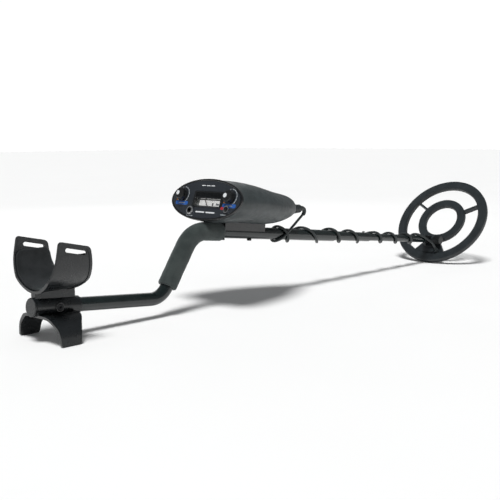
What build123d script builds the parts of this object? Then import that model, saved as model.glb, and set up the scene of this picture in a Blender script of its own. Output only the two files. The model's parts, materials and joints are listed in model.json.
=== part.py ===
from build123d import *
from math import cos, pi, radians, sin, tan
import os

# Metal detector: S-shaped upper stem with armrest, foam grip and control housing,
# two telescoping lower stems held by spring buttons, and a tilting open search coil.
# Millimetres. +X runs from the armrest towards the coil, +Y is the user's left, +Z is up.
# The origin is on the floor under the middle of the whole length.

# ---- driving dimensions ----
COIL_RADIUS = 101.6
COIL_LEAN = 53.0
COIL_THICKNESS = 12.0
COIL_EDGE = 3.5
OUTER_RING_INNER = 82.5
INNER_RING_OUTER = 53.0
INNER_RING_INNER = 36.0
COVER_DEPTH = 4.0
HINGE_LIFT = 17.0

ARM_HEIGHT = 47.6
ARM_DROP = 5.2
ARM_LENGTH = 221.9
RISER_ANGLE = 56.35
RISER_LENGTH = 116.1
STEM_DROP = 6.32
HINGE_DISTANCE = 685.0

ROD_RADIUS = 10.0
ROD_BORE = 8.55
ROD_END = 349.0
MIDDLE_RADIUS = 8.5
MIDDLE_BORE = 7.2
MIDDLE_START = 176.0
MIDDLE_END = 460.0
LOWER_RADIUS = 7.15
LOWER_BORE = 5.9
LOWER_START = 420.0
LOWER_END = 658.0
HOLE_PITCH = 25.4
UPPER_BUTTON_DISTANCE = 202.0
LOWER_BUTTON_DISTANCE = 445.0
UPPER_HOLES = 6
LOWER_HOLES = 4

HOUSING_HALF_WIDTH = 78.9
HOUSING_HALF_HEIGHT = 34.2
HOUSING_WALL = 2.6
PANEL_STATION = 317.4
PANEL_HEIGHT = 169.4
PANEL_LEAN = 68.8

CABLE_RADIUS = 2.25

# ---- derived stations: x is measured from the armrest's rear end, then shifted by REAR ----
arm_run = ARM_LENGTH * cos(radians(ARM_DROP))
arm_fall = ARM_LENGTH * sin(radians(ARM_DROP))
riser_run = RISER_LENGTH * cos(radians(RISER_ANGLE))
riser_rise = RISER_LENGTH * sin(radians(RISER_ANGLE))
lean_cos = cos(radians(COIL_LEAN))
lean_sin = sin(radians(COIL_LEAN))
half_coil = COIL_THICKNESS / 2
stem_cos = cos(radians(STEM_DROP))
stem_sin = sin(radians(STEM_DROP))

hinge_station = arm_run + riser_run + HINGE_DISTANCE * stem_cos
hinge_height = ARM_HEIGHT - arm_fall + riser_rise - HINGE_DISTANCE * stem_sin
coil_height = (COIL_RADIUS - COIL_EDGE) * lean_sin + (half_coil - COIL_EDGE) * lean_cos + COIL_EDGE
hub_drop = (coil_height + HINGE_LIFT * lean_cos - hinge_height) / lean_sin
coil_station = hinge_station + hub_drop * lean_cos + HINGE_LIFT * lean_sin
front_station = (
    coil_station + (COIL_RADIUS - COIL_EDGE) * lean_cos + (half_coil - COIL_EDGE) * lean_sin + COIL_EDGE
)
REAR = -front_station / 2


def at(station, height, y=0.0):
    """A point given by its distance from the armrest's rear end and its height."""
    return Vector(REAR + station, y, height)


def side(station, height):
    """The same point in a sketch on the XZ plane."""
    return (REAR + station, height)


rear_end = at(0, ARM_HEIGHT)
lower_bend = at(arm_run, ARM_HEIGHT - arm_fall)
upper_bend = at(arm_run + riser_run, ARM_HEIGHT - arm_fall + riser_rise)
hinge = at(hinge_station, hinge_height)
coil_centre = at(coil_station, coil_height)

arm_direction = Vector(cos(radians(ARM_DROP)), 0, -sin(radians(ARM_DROP)))
stem_direction = Vector(stem_cos, 0, -stem_sin)
stem_up = Vector(stem_sin, 0, stem_cos)
coil_up = Vector(lean_cos, 0, lean_sin)
coil_face = Vector(-lean_sin, 0, lean_cos)
panel_up = Vector(cos(radians(PANEL_LEAN)), 0, sin(radians(PANEL_LEAN)))
panel_face = Vector(-sin(radians(PANEL_LEAN)), 0, cos(radians(PANEL_LEAN)))

# arm_plane and stem_plane: local x is the left, local y is up, local z runs along the tube.
arm_plane = Plane(origin=rear_end, x_dir=(0, 1, 0), z_dir=arm_direction)
stem_plane = Plane(origin=upper_bend, x_dir=(0, 1, 0), z_dir=stem_direction)
# coil_plane and panel_plane: local x is the user's right, local y is up, local z faces the user.
coil_plane = Plane(origin=coil_centre, x_dir=(0, -1, 0), z_dir=coil_face)
panel_plane = Plane(origin=at(PANEL_STATION, PANEL_HEIGHT), x_dir=(0, -1, 0), z_dir=panel_face)


def stem_point(distance, up=0.0, left=0.0):
    """A point at a distance past the upper bend, with offsets up and to the left."""
    return upper_bend + stem_direction * distance + stem_up * up + Vector(0, left, 0)


def panel_point(right, up, out=0.0):
    """A point in the control panel's own directions."""
    return panel_plane.origin + Vector(0, -right, 0) + panel_up * up + panel_face * out


def panel_offset(right, up, out=0.0):
    """The panel's plane moved to a point of the panel."""
    return Plane(origin=panel_point(right, up, out), x_dir=(0, -1, 0), z_dir=panel_face)


os.makedirs("parts", exist_ok=True)


def save(piece, name):
    """Label a finished sub-part and write its STEP file."""
    piece.part.label = name
    export_step(piece.part, "parts/" + name + ".step")


def edges_of_radius(piece, radius):
    """The piece's circular edges of one radius."""
    return piece.edges().filter_by(GeomType.CIRCLE).filter_by(lambda edge: abs(edge.radius - radius) < 0.01)


# ---- upper stem: one tube with two bends ----
LOWER_BEND_RADIUS = 34.0
UPPER_BEND_RADIUS = 45.0
BUTTON_RADIUS = 3.0
BUTTON_HOLE = 3.15
BOLT_RADIUS = 2.5
BOLT_HOLE = 2.6
ARM_BOLT_DISTANCE = 36.6
SCREW_DISTANCES = (66.0, 128.0)
SCREW_RADIUS = 2.0
SCREW_HOLE = 2.1

with BuildPart() as s_rod:
    with BuildLine() as rod_line:
        FilletPolyline(
            rear_end + arm_direction * 3,
            lower_bend,
            upper_bend,
            stem_point(ROD_END),
            radius=[LOWER_BEND_RADIUS, UPPER_BEND_RADIUS],
        )
    with BuildSketch(arm_plane.offset(3)):
        Circle(ROD_RADIUS)
        Circle(ROD_BORE, mode=Mode.SUBTRACT)
    sweep()
    with BuildSketch(Plane(origin=stem_point(UPPER_BUTTON_DISTANCE), x_dir=stem_direction, z_dir=stem_up)):
        with Locations([(hole * HOLE_PITCH, 0) for hole in range(UPPER_HOLES)]):
            Circle(BUTTON_HOLE)
    extrude(amount=ROD_RADIUS + 2, mode=Mode.SUBTRACT)
    with BuildSketch(Plane(origin=stem_point(0), x_dir=stem_direction, z_dir=stem_up)):
        with Locations([(distance, 0) for distance in SCREW_DISTANCES]):
            Circle(SCREW_HOLE)
    extrude(amount=ROD_RADIUS + 2, both=True, mode=Mode.SUBTRACT)
    with BuildSketch(Plane(origin=rear_end, x_dir=arm_direction, z_dir=(0, -1, 0))):
        with Locations((ARM_BOLT_DISTANCE, 0)):
            Circle(BOLT_HOLE)
    extrude(amount=ROD_RADIUS + 2, both=True, mode=Mode.SUBTRACT)
save(s_rod, "s_rod")

# ---- foam grip round the upper bend ----
GRIP_RADIUS = 14.7
GRIP_FRONT = 59.0
riser_direction = Vector(cos(radians(RISER_ANGLE)), 0, sin(radians(RISER_ANGLE)))
grip_start = lower_bend + riser_direction * LOWER_BEND_RADIUS * tan(radians((RISER_ANGLE + ARM_DROP) / 2))

with BuildPart() as foam_grip:
    with BuildLine() as grip_line:
        FilletPolyline(grip_start, upper_bend, stem_point(GRIP_FRONT), radius=UPPER_BEND_RADIUS)
    with BuildSketch(Plane(origin=grip_start, x_dir=(0, 1, 0), z_dir=riser_direction)):
        Circle(GRIP_RADIUS)
        Circle(ROD_RADIUS + 0.05, mode=Mode.SUBTRACT)
    sweep()
    fillet(edges_of_radius(foam_grip, GRIP_RADIUS), 1.8)
save(foam_grip, "foam_grip")

# ---- armrest: sleeve on the rod, web, U-shaped cradle and arched stand in one moulding ----
SLEEVE_RADIUS = 12.6
SLEEVE_START = 3.0
SLEEVE_END = 72.0
CRADLE_HALF_WIDTH = 52.4
CRADLE_WALL = 3.6
CRADLE_BOTTOM = 65.0
WEB_THICKNESS = 9.5
STAND_HALF_WIDTH = 50.4
cradle_centre_height = CRADLE_BOTTOM + CRADLE_HALF_WIDTH
CRADLE_TOP = 137.0


def cradle_corners(inset):
    """The corners of the cradle's side outline, a leaning panel that narrows at the bottom."""
    return [
        side(6 + inset, CRADLE_BOTTOM - 12),
        side(3 + inset, 82),
        side(13.5 + inset, CRADLE_TOP - inset),
        side(60.5 - inset, CRADLE_TOP - 10.5 - inset),
        side(67 - inset, 80),
        side(57 - inset, CRADLE_BOTTOM + 1),
        side(46 - inset, CRADLE_BOTTOM - 12),
    ]


CRADLE_ROUNDING = [0, 14, 5, 8, 14, 10, 0]


def u_band(outer, inner, top):
    """A U-shaped band in the YZ plane, round at the bottom and straight above."""
    with Locations((0, cradle_centre_height)):
        Circle(outer)
    with Locations((0, (cradle_centre_height + top) / 2)):
        Rectangle(2 * outer, top - cradle_centre_height)
    with Locations((0, cradle_centre_height)):
        Circle(inner, mode=Mode.SUBTRACT)
    with Locations((0, (cradle_centre_height + top + 10) / 2)):
        Rectangle(2 * inner, top + 10 - cradle_centre_height, mode=Mode.SUBTRACT)


SLOT_LENGTH = 33.0
SLOT_HEIGHT = 5.4
EDGE_BAND = 3.6
RECESS_DEPTH = 0.9
SLOT_SLOPE = -12.6
slot_centre = at(38.5, CRADLE_TOP - 15.2)
rear_face = Plane(origin=(REAR, 0, 0), x_dir=(0, 1, 0), z_dir=(1, 0, 0))

with BuildPart() as cradle_recess:
    with BuildSketch(rear_face):
        u_band(CRADLE_HALF_WIDTH + 1, CRADLE_HALF_WIDTH - RECESS_DEPTH, CRADLE_TOP + 2)
    extrude(amount=SLEEVE_END)
    with BuildSketch(Plane.XZ):
        with BuildLine():
            FilletPolyline(*cradle_corners(EDGE_BAND), radius=CRADLE_ROUNDING, close=True)
        make_face()
    extrude(amount=CRADLE_HALF_WIDTH + 2, both=True, mode=Mode.INTERSECT)

ARCH_OUTER = [(52.4, 0), (49.6, 20), (30, 36.5), (-30, 36.5), (-49.6, 20), (-52.4, 0)]
ARCH_INNER = [(48.4, -1), (45.7, 18.5), (27, 32.5), (-27, 32.5), (-45.7, 18.5), (-48.4, -1)]

with BuildPart() as stand_arch:
    with BuildSketch(rear_face):
        with BuildLine():
            FilletPolyline(*ARCH_OUTER, radius=[24, 26, 26, 24])
            Line(ARCH_OUTER[-1], ARCH_OUTER[0])
        make_face()
        with BuildLine():
            FilletPolyline(*ARCH_INNER, radius=[20, 22, 22, 20])
            Line(ARCH_INNER[-1], ARCH_INNER[0])
        make_face(mode=Mode.SUBTRACT)
    extrude(amount=SLEEVE_END)
    with BuildSketch(Plane.XZ):
        with BuildLine():
            FilletPolyline(
                side(12.5, 0), side(11, 22), side(5, 44), side(66, 44), side(46, 22), side(41.5, 0),
                radius=[3, 30, 0, 0, 30, 3],
                close=True,
            )
        make_face()
    extrude(amount=STAND_HALF_WIDTH + 6, both=True, mode=Mode.INTERSECT)

BOLT_HEAD_RADIUS = 4.7
BOLT_BOSS_RADIUS = 6.2
BOLT_SEAT = 11.2
arm_bolt_point = rear_end + arm_direction * ARM_BOLT_DISTANCE
bolt_plane = Plane(origin=arm_bolt_point, x_dir=arm_direction, z_dir=(0, -1, 0))

with BuildPart() as armrest:
    with BuildSketch(rear_face):
        u_band(CRADLE_HALF_WIDTH, CRADLE_HALF_WIDTH - CRADLE_WALL, CRADLE_TOP + 2)
    extrude(amount=SLEEVE_END)
    with BuildSketch(Plane.XZ):
        with BuildLine():
            FilletPolyline(*cradle_corners(0), radius=CRADLE_ROUNDING, close=True)
        make_face()
    extrude(amount=CRADLE_HALF_WIDTH + 2, both=True, mode=Mode.INTERSECT)
    add(cradle_recess.part, mode=Mode.SUBTRACT)
    with BuildSketch(Plane(origin=slot_centre, x_dir=(1, 0, 0), z_dir=(0, -1, 0))):
        SlotOverall(SLOT_LENGTH, SLOT_HEIGHT, rotation=SLOT_SLOPE)
    extrude(amount=CRADLE_HALF_WIDTH + 2, both=True, mode=Mode.SUBTRACT)
    add(stand_arch.part)
    with BuildSketch(Plane.XZ):
        with BuildLine():
            Polyline(side(4.6, 50), side(4.6, 67.5), side(66, 67.5), side(66, 50), close=True)
        make_face()
    extrude(amount=WEB_THICKNESS / 2, both=True)
    with BuildSketch(arm_plane.offset(SLEEVE_START)):
        Circle(SLEEVE_RADIUS)
    extrude(amount=SLEEVE_END - SLEEVE_START)
    with BuildSketch(bolt_plane):
        Circle(BOLT_BOSS_RADIUS)
    extrude(amount=SLEEVE_RADIUS + 1.2, both=True)
    with BuildSketch(bolt_plane.offset(BOLT_SEAT)):
        Circle(BOLT_HEAD_RADIUS + 0.3)
    extrude(amount=5, mode=Mode.SUBTRACT)
    with BuildSketch(bolt_plane.offset(-BOLT_SEAT)):
        Circle(BOLT_HEAD_RADIUS + 0.3)
    extrude(amount=-5, mode=Mode.SUBTRACT)
    with BuildSketch(bolt_plane):
        Circle(BOLT_HOLE)
    extrude(amount=SLEEVE_RADIUS + 3, both=True, mode=Mode.SUBTRACT)
    with BuildSketch(arm_plane.offset(SLEEVE_START - 1)):
        Circle(ROD_RADIUS + 0.05)
    extrude(amount=SLEEVE_END + 5, mode=Mode.SUBTRACT)
    with BuildSketch(rear_face):
        with Locations((0, cradle_centre_height)):
            Circle(CRADLE_HALF_WIDTH - CRADLE_WALL)
    extrude(amount=SLEEVE_END + 5, mode=Mode.SUBTRACT)
save(armrest, "armrest")

PAD_THICKNESS = 3.2
PAD_TOP = CRADLE_TOP - 19.0
PAD_GAP = 0.1

with BuildPart() as armrest_pad:
    with BuildSketch(rear_face):
        u_band(
            CRADLE_HALF_WIDTH - CRADLE_WALL - PAD_GAP,
            CRADLE_HALF_WIDTH - CRADLE_WALL - PAD_GAP - PAD_THICKNESS,
            CRADLE_TOP,
        )
    extrude(amount=SLEEVE_END)
    with BuildSketch(Plane.XZ):
        with BuildLine():
            FilletPolyline(
                side(7, 60), side(5, 82), side(12, PAD_TOP), side(63.5, PAD_TOP - 8), side(65, 82),
                side(57, CRADLE_BOTTOM + 2), side(50, 60),
                radius=[0, 14, 4, 6, 12, 6, 0],
                close=True,
            )
        make_face()
    extrude(amount=CRADLE_HALF_WIDTH, both=True, mode=Mode.INTERSECT)
save(armrest_pad, "armrest_pad")

with BuildPart() as rod_end_cap:
    with BuildSketch(arm_plane):
        Circle(SLEEVE_RADIUS)
    extrude(amount=SLEEVE_START)
    fillet(edges_of_radius(rod_end_cap, SLEEVE_RADIUS), 0.9)
    with BuildSketch(arm_plane.offset(SLEEVE_START)):
        Circle(ROD_BORE - 0.05)
        Circle(ROD_BORE - 2.5, mode=Mode.SUBTRACT)
    extrude(amount=14)
save(rod_end_cap, "rod_end_cap")

with BuildPart() as armrest_bolt:
    with BuildSketch(bolt_plane.offset(-BOLT_SEAT - 3.2)):
        Circle(BOLT_RADIUS)
    extrude(amount=2 * BOLT_SEAT + 3.2)
    with BuildSketch(bolt_plane.offset(BOLT_SEAT)):
        Circle(BOLT_HEAD_RADIUS)
    extrude(amount=3)
    fillet(edges_of_radius(armrest_bolt, BOLT_HEAD_RADIUS).sort_by(Axis.Y)[0], 0.8)
    with BuildSketch(bolt_plane.offset(BOLT_SEAT + 3)):
        RegularPolygon(2.0, 6)
    extrude(amount=-2, mode=Mode.SUBTRACT)
save(armrest_bolt, "armrest_bolt")

with BuildPart() as armrest_nut:
    with BuildSketch(bolt_plane.offset(-BOLT_SEAT)):
        RegularPolygon(BOLT_HEAD_RADIUS, 6)
        Circle(BOLT_RADIUS + 0.02, mode=Mode.SUBTRACT)
    extrude(amount=-3.2)
save(armrest_nut, "armrest_nut")

# ---- telescoping stems ----
with BuildPart() as middle_tube:
    with BuildSketch(stem_plane.offset(MIDDLE_START)):
        Circle(MIDDLE_RADIUS)
        Circle(MIDDLE_BORE, mode=Mode.SUBTRACT)
    extrude(amount=MIDDLE_END - MIDDLE_START)
    with BuildSketch(Plane(origin=stem_point(0), x_dir=stem_direction, z_dir=stem_up)):
        with Locations((UPPER_BUTTON_DISTANCE, 0)):
            Circle(BUTTON_HOLE)
        with Locations([(LOWER_BUTTON_DISTANCE - hole * HOLE_PITCH, 0) for hole in range(LOWER_HOLES)]):
            Circle(BUTTON_HOLE)
    extrude(amount=MIDDLE_RADIUS + 2, mode=Mode.SUBTRACT)
save(middle_tube, "middle_tube")

with BuildPart() as lower_tube:
    with BuildSketch(stem_plane.offset(LOWER_START)):
        Circle(LOWER_RADIUS)
        Circle(LOWER_BORE, mode=Mode.SUBTRACT)
    extrude(amount=LOWER_END - LOWER_START)
    with BuildSketch(Plane(origin=stem_point(LOWER_BUTTON_DISTANCE), x_dir=stem_direction, z_dir=stem_up)):
        Circle(BUTTON_HOLE)
    extrude(amount=LOWER_RADIUS + 2, mode=Mode.SUBTRACT)
save(lower_tube, "lower_tube")

BUTTON_STAND = 2.2
BUTTON_ROOT = 1.5
SPRING_STRIP = 0.7
SPRING_WIDTH = 5.0
SPRING_LENGTH = 24.0


def spring_button(distance, bore, outer_radius):
    """A round-nosed button on the bent strip that presses it outwards in a tube's bore."""
    with BuildPart() as button:
        root = stem_point(distance, up=bore - BUTTON_ROOT)
        with BuildSketch(Plane(origin=root, x_dir=stem_direction, z_dir=stem_up)):
            Circle(BUTTON_RADIUS)
        extrude(amount=outer_radius + BUTTON_STAND - bore + BUTTON_ROOT)
        fillet(edges_of_radius(button, BUTTON_RADIUS)[-1:], 1.0)
        with BuildSketch(Plane(origin=stem_point(0), x_dir=stem_direction, z_dir=(0, -1, 0))):
            with BuildLine():
                FilletPolyline(
                    (distance + 4, bore - BUTTON_ROOT),
                    (distance - SPRING_LENGTH, 0.4 - bore / 2),
                    (distance + 4, 1.2 - bore),
                    radius=1.5,
                )
                offset(amount=SPRING_STRIP)
            make_face()
        extrude(amount=SPRING_WIDTH / 2, both=True)
    return button


upper_spring_button = spring_button(UPPER_BUTTON_DISTANCE, MIDDLE_BORE, ROD_RADIUS)
save(upper_spring_button, "upper_spring_button")
lower_spring_button = spring_button(LOWER_BUTTON_DISTANCE, LOWER_BORE, MIDDLE_RADIUS)
save(lower_spring_button, "lower_spring_button")

# ---- control housing: a teardrop that narrows from the panel to the nose ----
# Each section: station, top height, bottom height, half width.
HOUSING_SECTIONS = [
    (361.4, 197.6, 131.3, 76.0),
    (401.5, 190.3, 126.6, 69.0),
    (437.5, 180.9, 122.8, 58.0),
    (471.4, 173.1, 124.1, 42.0),
    (498.3, 165.9, 128.5, 26.0),
    (515.2, 154.2, 133.9, 12.0),
]
NOSE_STATION = 515.2
NOSE_HEIGHT = 143.7
NOSE_WALL = 6.0


def cross_plane(station, height):
    """A plane across the length, seen from the armrest: local x is the user's right."""
    return Plane(origin=at(station, height), x_dir=(0, -1, 0), z_dir=(-1, 0, 0))


def housing_solid(inset):
    """The housing's solid shape, smaller by the inset all round."""
    with BuildPart() as solid:
        with BuildSketch(panel_plane):
            Ellipse(HOUSING_HALF_WIDTH - inset, HOUSING_HALF_HEIGHT - inset)
        for station, top, bottom, half_width in HOUSING_SECTIONS:
            shorter = station - (NOSE_WALL if inset and station == NOSE_STATION else 0)
            with BuildSketch(cross_plane(shorter, (top + bottom) / 2)):
                Ellipse(half_width - inset, (top - bottom) / 2 - inset)
        loft()
        with BuildSketch(stem_plane):
            Circle(GRIP_RADIUS + 0.3)
        extrude(amount=GRIP_FRONT + 0.4, mode=Mode.SUBTRACT if not inset else Mode.PRIVATE)
    return solid.part


housing_outside = housing_solid(0)
housing_inside = housing_solid(HOUSING_WALL)

DOOR_START = 372.0
DOOR_END = 424.0
DOOR_INNER = 18.0
DOOR_OUTER = 49.0
DOOR_GAP = 0.3
NOSE_HOLE = 4.0
sides = {"left": 1, "right": -1}


def door_box(side_sign, gap):
    """The column under the housing that a battery door is cut with."""
    with BuildPart() as column:
        with BuildSketch(Plane.XY.offset(100)):
            with Locations((REAR + (DOOR_START + DOOR_END) / 2, side_sign * (DOOR_INNER + DOOR_OUTER) / 2)):
                RectangleRounded(DOOR_END - DOOR_START - 2 * gap, DOOR_OUTER - DOOR_INNER - 2 * gap, 4)
        extrude(amount=58)
    return column.part


with BuildPart() as housing_shell:
    add(housing_outside)
    add(housing_inside, mode=Mode.SUBTRACT)
    for sign in sides.values():
        add(door_box(sign, 0), mode=Mode.SUBTRACT)
    with BuildSketch(cross_plane(NOSE_STATION, NOSE_HEIGHT)):
        Circle(NOSE_HOLE)
    extrude(amount=40, mode=Mode.SUBTRACT)
    with BuildSketch(Plane(origin=stem_point(0), x_dir=stem_direction, z_dir=stem_up)):
        with Locations([(distance, 0) for distance in SCREW_DISTANCES]):
            Circle(SCREW_HOLE)
    extrude(amount=30, mode=Mode.SUBTRACT)
save(housing_shell, "housing_shell")

for name, sign in sides.items():
    with BuildPart() as battery_door:
        add(housing_outside)
        add(housing_inside, mode=Mode.SUBTRACT)
        add(door_box(sign, DOOR_GAP), mode=Mode.INTERSECT)
    save(battery_door, "battery_door_" + name)

SADDLE_HALF_WIDTH = 11.0
SADDLE_START = 60.0
SADDLE_END = 153.0
with BuildPart() as housing_saddle:
    with BuildSketch(stem_plane.offset(SADDLE_START)):
        with Locations((0, 12)):
            Rectangle(2 * SADDLE_HALF_WIDTH, 18)
    extrude(amount=SADDLE_END - SADDLE_START)
    with BuildSketch(stem_plane.offset(SADDLE_START)):
        Circle(ROD_RADIUS + 0.05)
    extrude(amount=SADDLE_END - SADDLE_START, mode=Mode.SUBTRACT)
    add(housing_outside, mode=Mode.SUBTRACT)
    with BuildSketch(Plane(origin=stem_point(0), x_dir=stem_direction, z_dir=stem_up)):
        with Locations([(distance, 0) for distance in SCREW_DISTANCES]):
            Circle(SCREW_HOLE)
    extrude(amount=30, mode=Mode.SUBTRACT)
save(housing_saddle, "housing_saddle")

SCREW_HEAD_RADIUS = 3.8
SCREW_HEAD_HEIGHT = 2.8
NUT_UP = 19.2
NUT_HEIGHT = 3.0
under_rod = Plane(origin=stem_point(0, up=-ROD_RADIUS - 0.02), x_dir=stem_direction, z_dir=stem_up)
with BuildPart() as housing_screws:
    with BuildSketch(under_rod):
        with Locations([(distance, 0) for distance in SCREW_DISTANCES]):
            Circle(SCREW_RADIUS)
    extrude(amount=ROD_RADIUS + NUT_UP + NUT_HEIGHT + 1)
    with BuildSketch(under_rod):
        with Locations([(distance, 0) for distance in SCREW_DISTANCES]):
            Circle(SCREW_HEAD_RADIUS)
    extrude(amount=-SCREW_HEAD_HEIGHT)
save(housing_screws, "housing_screws")

with BuildPart() as housing_nuts:
    with BuildSketch(under_rod.offset(ROD_RADIUS + NUT_UP)):
        with Locations([(distance, 0) for distance in SCREW_DISTANCES]):
            RegularPolygon(3.8, 6)
            Circle(SCREW_RADIUS + 0.02, mode=Mode.SUBTRACT)
    extrude(amount=NUT_HEIGHT)
save(housing_nuts, "housing_nuts")

# ---- control panel ----
RIM_HEIGHT = 4.0
RIM_WIDTH = 3.6
PLATE_THICKNESS = 2.4
KNOB_RIGHT = 53.5
KNOB_UP = 6.0
DISPLAY_RIGHT = 6.0
DISPLAY_UP = 0.75
DISPLAY_WIDTH = 66.0
DISPLAY_HEIGHT = 25.5
WINDOW_WIDTH = 57.0
WINDOW_HEIGHT = 12.5
WINDOW_UP = -4.7
JACK_RIGHT = -27.6
JACK_UP = -19.0
TEST_RIGHT = 51.5
TEST_UP = -13.8
BUSH_RADIUS = 3.5
JACK_THREAD_RADIUS = 4.5
TEST_THREAD_RADIUS = 4.2
SPIGOT_INSET = 2.0

with BuildPart() as panel_rim:
    with BuildSketch(panel_plane):
        Ellipse(HOUSING_HALF_WIDTH, HOUSING_HALF_HEIGHT)
        Ellipse(HOUSING_HALF_WIDTH - RIM_WIDTH, HOUSING_HALF_HEIGHT - RIM_WIDTH, mode=Mode.SUBTRACT)
    extrude(amount=RIM_HEIGHT)
    fillet(panel_rim.faces().sort_by(Axis(panel_plane.origin, panel_face))[-1].edges(), 1.4)
    with BuildSketch(panel_plane):
        Ellipse(HOUSING_HALF_WIDTH - 4.2, HOUSING_HALF_HEIGHT - 4.2)
        Ellipse(HOUSING_HALF_WIDTH - 6.2, HOUSING_HALF_HEIGHT - 6.2, mode=Mode.SUBTRACT)
    extrude(amount=-5)
    with BuildSketch(panel_plane):
        Ellipse(HOUSING_HALF_WIDTH - 1, HOUSING_HALF_HEIGHT - 1)
        Ellipse(HOUSING_HALF_WIDTH - 6.2, HOUSING_HALF_HEIGHT - 6.2, mode=Mode.SUBTRACT)
    extrude(amount=1)
save(panel_rim, "panel_rim")

PLATE_SEAT = 1.0
with BuildPart() as front_panel:
    with BuildSketch(panel_plane.offset(PLATE_SEAT)):
        Ellipse(HOUSING_HALF_WIDTH - RIM_WIDTH - 0.1, HOUSING_HALF_HEIGHT - RIM_WIDTH - 0.1)
        with Locations((KNOB_RIGHT, KNOB_UP), (-KNOB_RIGHT, KNOB_UP)):
            Circle(BUSH_RADIUS + 0.1, mode=Mode.SUBTRACT)
        with Locations((JACK_RIGHT, JACK_UP)):
            Circle(JACK_THREAD_RADIUS + 0.1, mode=Mode.SUBTRACT)
        with Locations((TEST_RIGHT, TEST_UP)):
            Circle(TEST_THREAD_RADIUS + 0.1, mode=Mode.SUBTRACT)
        with Locations((DISPLAY_RIGHT, DISPLAY_UP)):
            RectangleRounded(DISPLAY_WIDTH - 4, DISPLAY_HEIGHT - 4, 1, mode=Mode.SUBTRACT)
    extrude(amount=PLATE_THICKNESS)
save(front_panel, "front_panel")
PLATE_FACE = PLATE_SEAT + PLATE_THICKNESS

FRAME_HEIGHT = 1.4
SLOT_PITCH = 2.4
GRILLE_SLOTS = 24
with BuildPart() as display_frame:
    with BuildSketch(panel_plane.offset(PLATE_FACE)):
        with Locations((DISPLAY_RIGHT, DISPLAY_UP)):
            RectangleRounded(DISPLAY_WIDTH, DISPLAY_HEIGHT, 2.5)
    extrude(amount=FRAME_HEIGHT)
    chamfer(display_frame.faces().sort_by(Axis(panel_plane.origin, panel_face))[-1].edges(), 0.5)
    with BuildSketch(panel_plane.offset(PLATE_FACE)):
        with Locations((DISPLAY_RIGHT, DISPLAY_UP)):
            RectangleRounded(DISPLAY_WIDTH - 4.2, DISPLAY_HEIGHT - 4.2, 0.9)
    extrude(amount=-PLATE_THICKNESS - 1)
    with BuildSketch(panel_plane.offset(PLATE_FACE + FRAME_HEIGHT)):
        with Locations((DISPLAY_RIGHT, WINDOW_UP)):
            RectangleRounded(WINDOW_WIDTH, WINDOW_HEIGHT, 0.8)
        with Locations((DISPLAY_RIGHT, 7.2)):
            with GridLocations(SLOT_PITCH, 0, GRILLE_SLOTS, 1):
                Rectangle(1.2, 7.4)
    extrude(amount=-10, mode=Mode.SUBTRACT)
save(display_frame, "display_frame")
FRAME_BACK = PLATE_FACE - PLATE_THICKNESS - 1

METER_TOP = 9.2
METER_BOTTOM = -12.5
METER_WALL = 1.4
WINDOW_THICKNESS = 1.2
METER_FRONT = FRAME_BACK - WINDOW_THICKNESS
METER_BACK = -26.0
DIAL_DEPTH = 6.0
PIVOT_UP = -17.5
with BuildPart() as meter_window:
    with BuildSketch(panel_plane.offset(FRAME_BACK)):
        with Locations((DISPLAY_RIGHT, WINDOW_UP)):
            Rectangle(WINDOW_WIDTH + 3, WINDOW_HEIGHT + 2.4)
    extrude(amount=-WINDOW_THICKNESS)
save(meter_window, "meter_window")

with BuildPart() as meter_body:
    with BuildSketch(panel_plane.offset(METER_FRONT)):
        with Locations((DISPLAY_RIGHT, (METER_TOP + METER_BOTTOM) / 2)):
            Rectangle(WINDOW_WIDTH + 3, METER_TOP - METER_BOTTOM)
        with Locations((DISPLAY_RIGHT, PIVOT_UP + 2)):
            Rectangle(32, 15)
    extrude(amount=METER_BACK - METER_FRONT)
    with BuildSketch(panel_plane.offset(METER_FRONT)):
        with Locations((DISPLAY_RIGHT, (METER_TOP + METER_BOTTOM) / 2)):
            Rectangle(WINDOW_WIDTH + 3 - 2 * METER_WALL, METER_TOP - METER_BOTTOM - 2 * METER_WALL)
        with Locations((DISPLAY_RIGHT, PIVOT_UP + 3)):
            Rectangle(28, 12)
    extrude(amount=-DIAL_DEPTH, mode=Mode.SUBTRACT)
save(meter_body, "meter_body")

DIAL_THICKNESS = 0.8
with BuildPart() as meter_dial:
    with BuildSketch(panel_plane.offset(METER_FRONT - DIAL_DEPTH)):
        with Locations((DISPLAY_RIGHT, WINDOW_UP)):
            Rectangle(WINDOW_WIDTH + 0.2, WINDOW_HEIGHT)
    extrude(amount=DIAL_THICKNESS)
save(meter_dial, "meter_dial")

NEEDLE_TILT = 38.0
NEEDLE_LENGTH = 23.5
NEEDLE_OUT = METER_FRONT - DIAL_DEPTH + 2.2
needle_plane = panel_offset(DISPLAY_RIGHT, PIVOT_UP, NEEDLE_OUT)
with BuildPart() as meter_needle:
    with BuildSketch(needle_plane):
        Circle(2.4)
        with BuildLine(Plane.XY.rotated((0, 0, NEEDLE_TILT))):
            Polyline((-1.0, 0), (-0.35, NEEDLE_LENGTH), (0.35, NEEDLE_LENGTH), (1.0, 0), close=True)
        make_face()
    extrude(amount=0.6)
    with BuildSketch(needle_plane):
        Circle(0.8)
    extrude(amount=-2.0)
save(meter_needle, "meter_needle")

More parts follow.
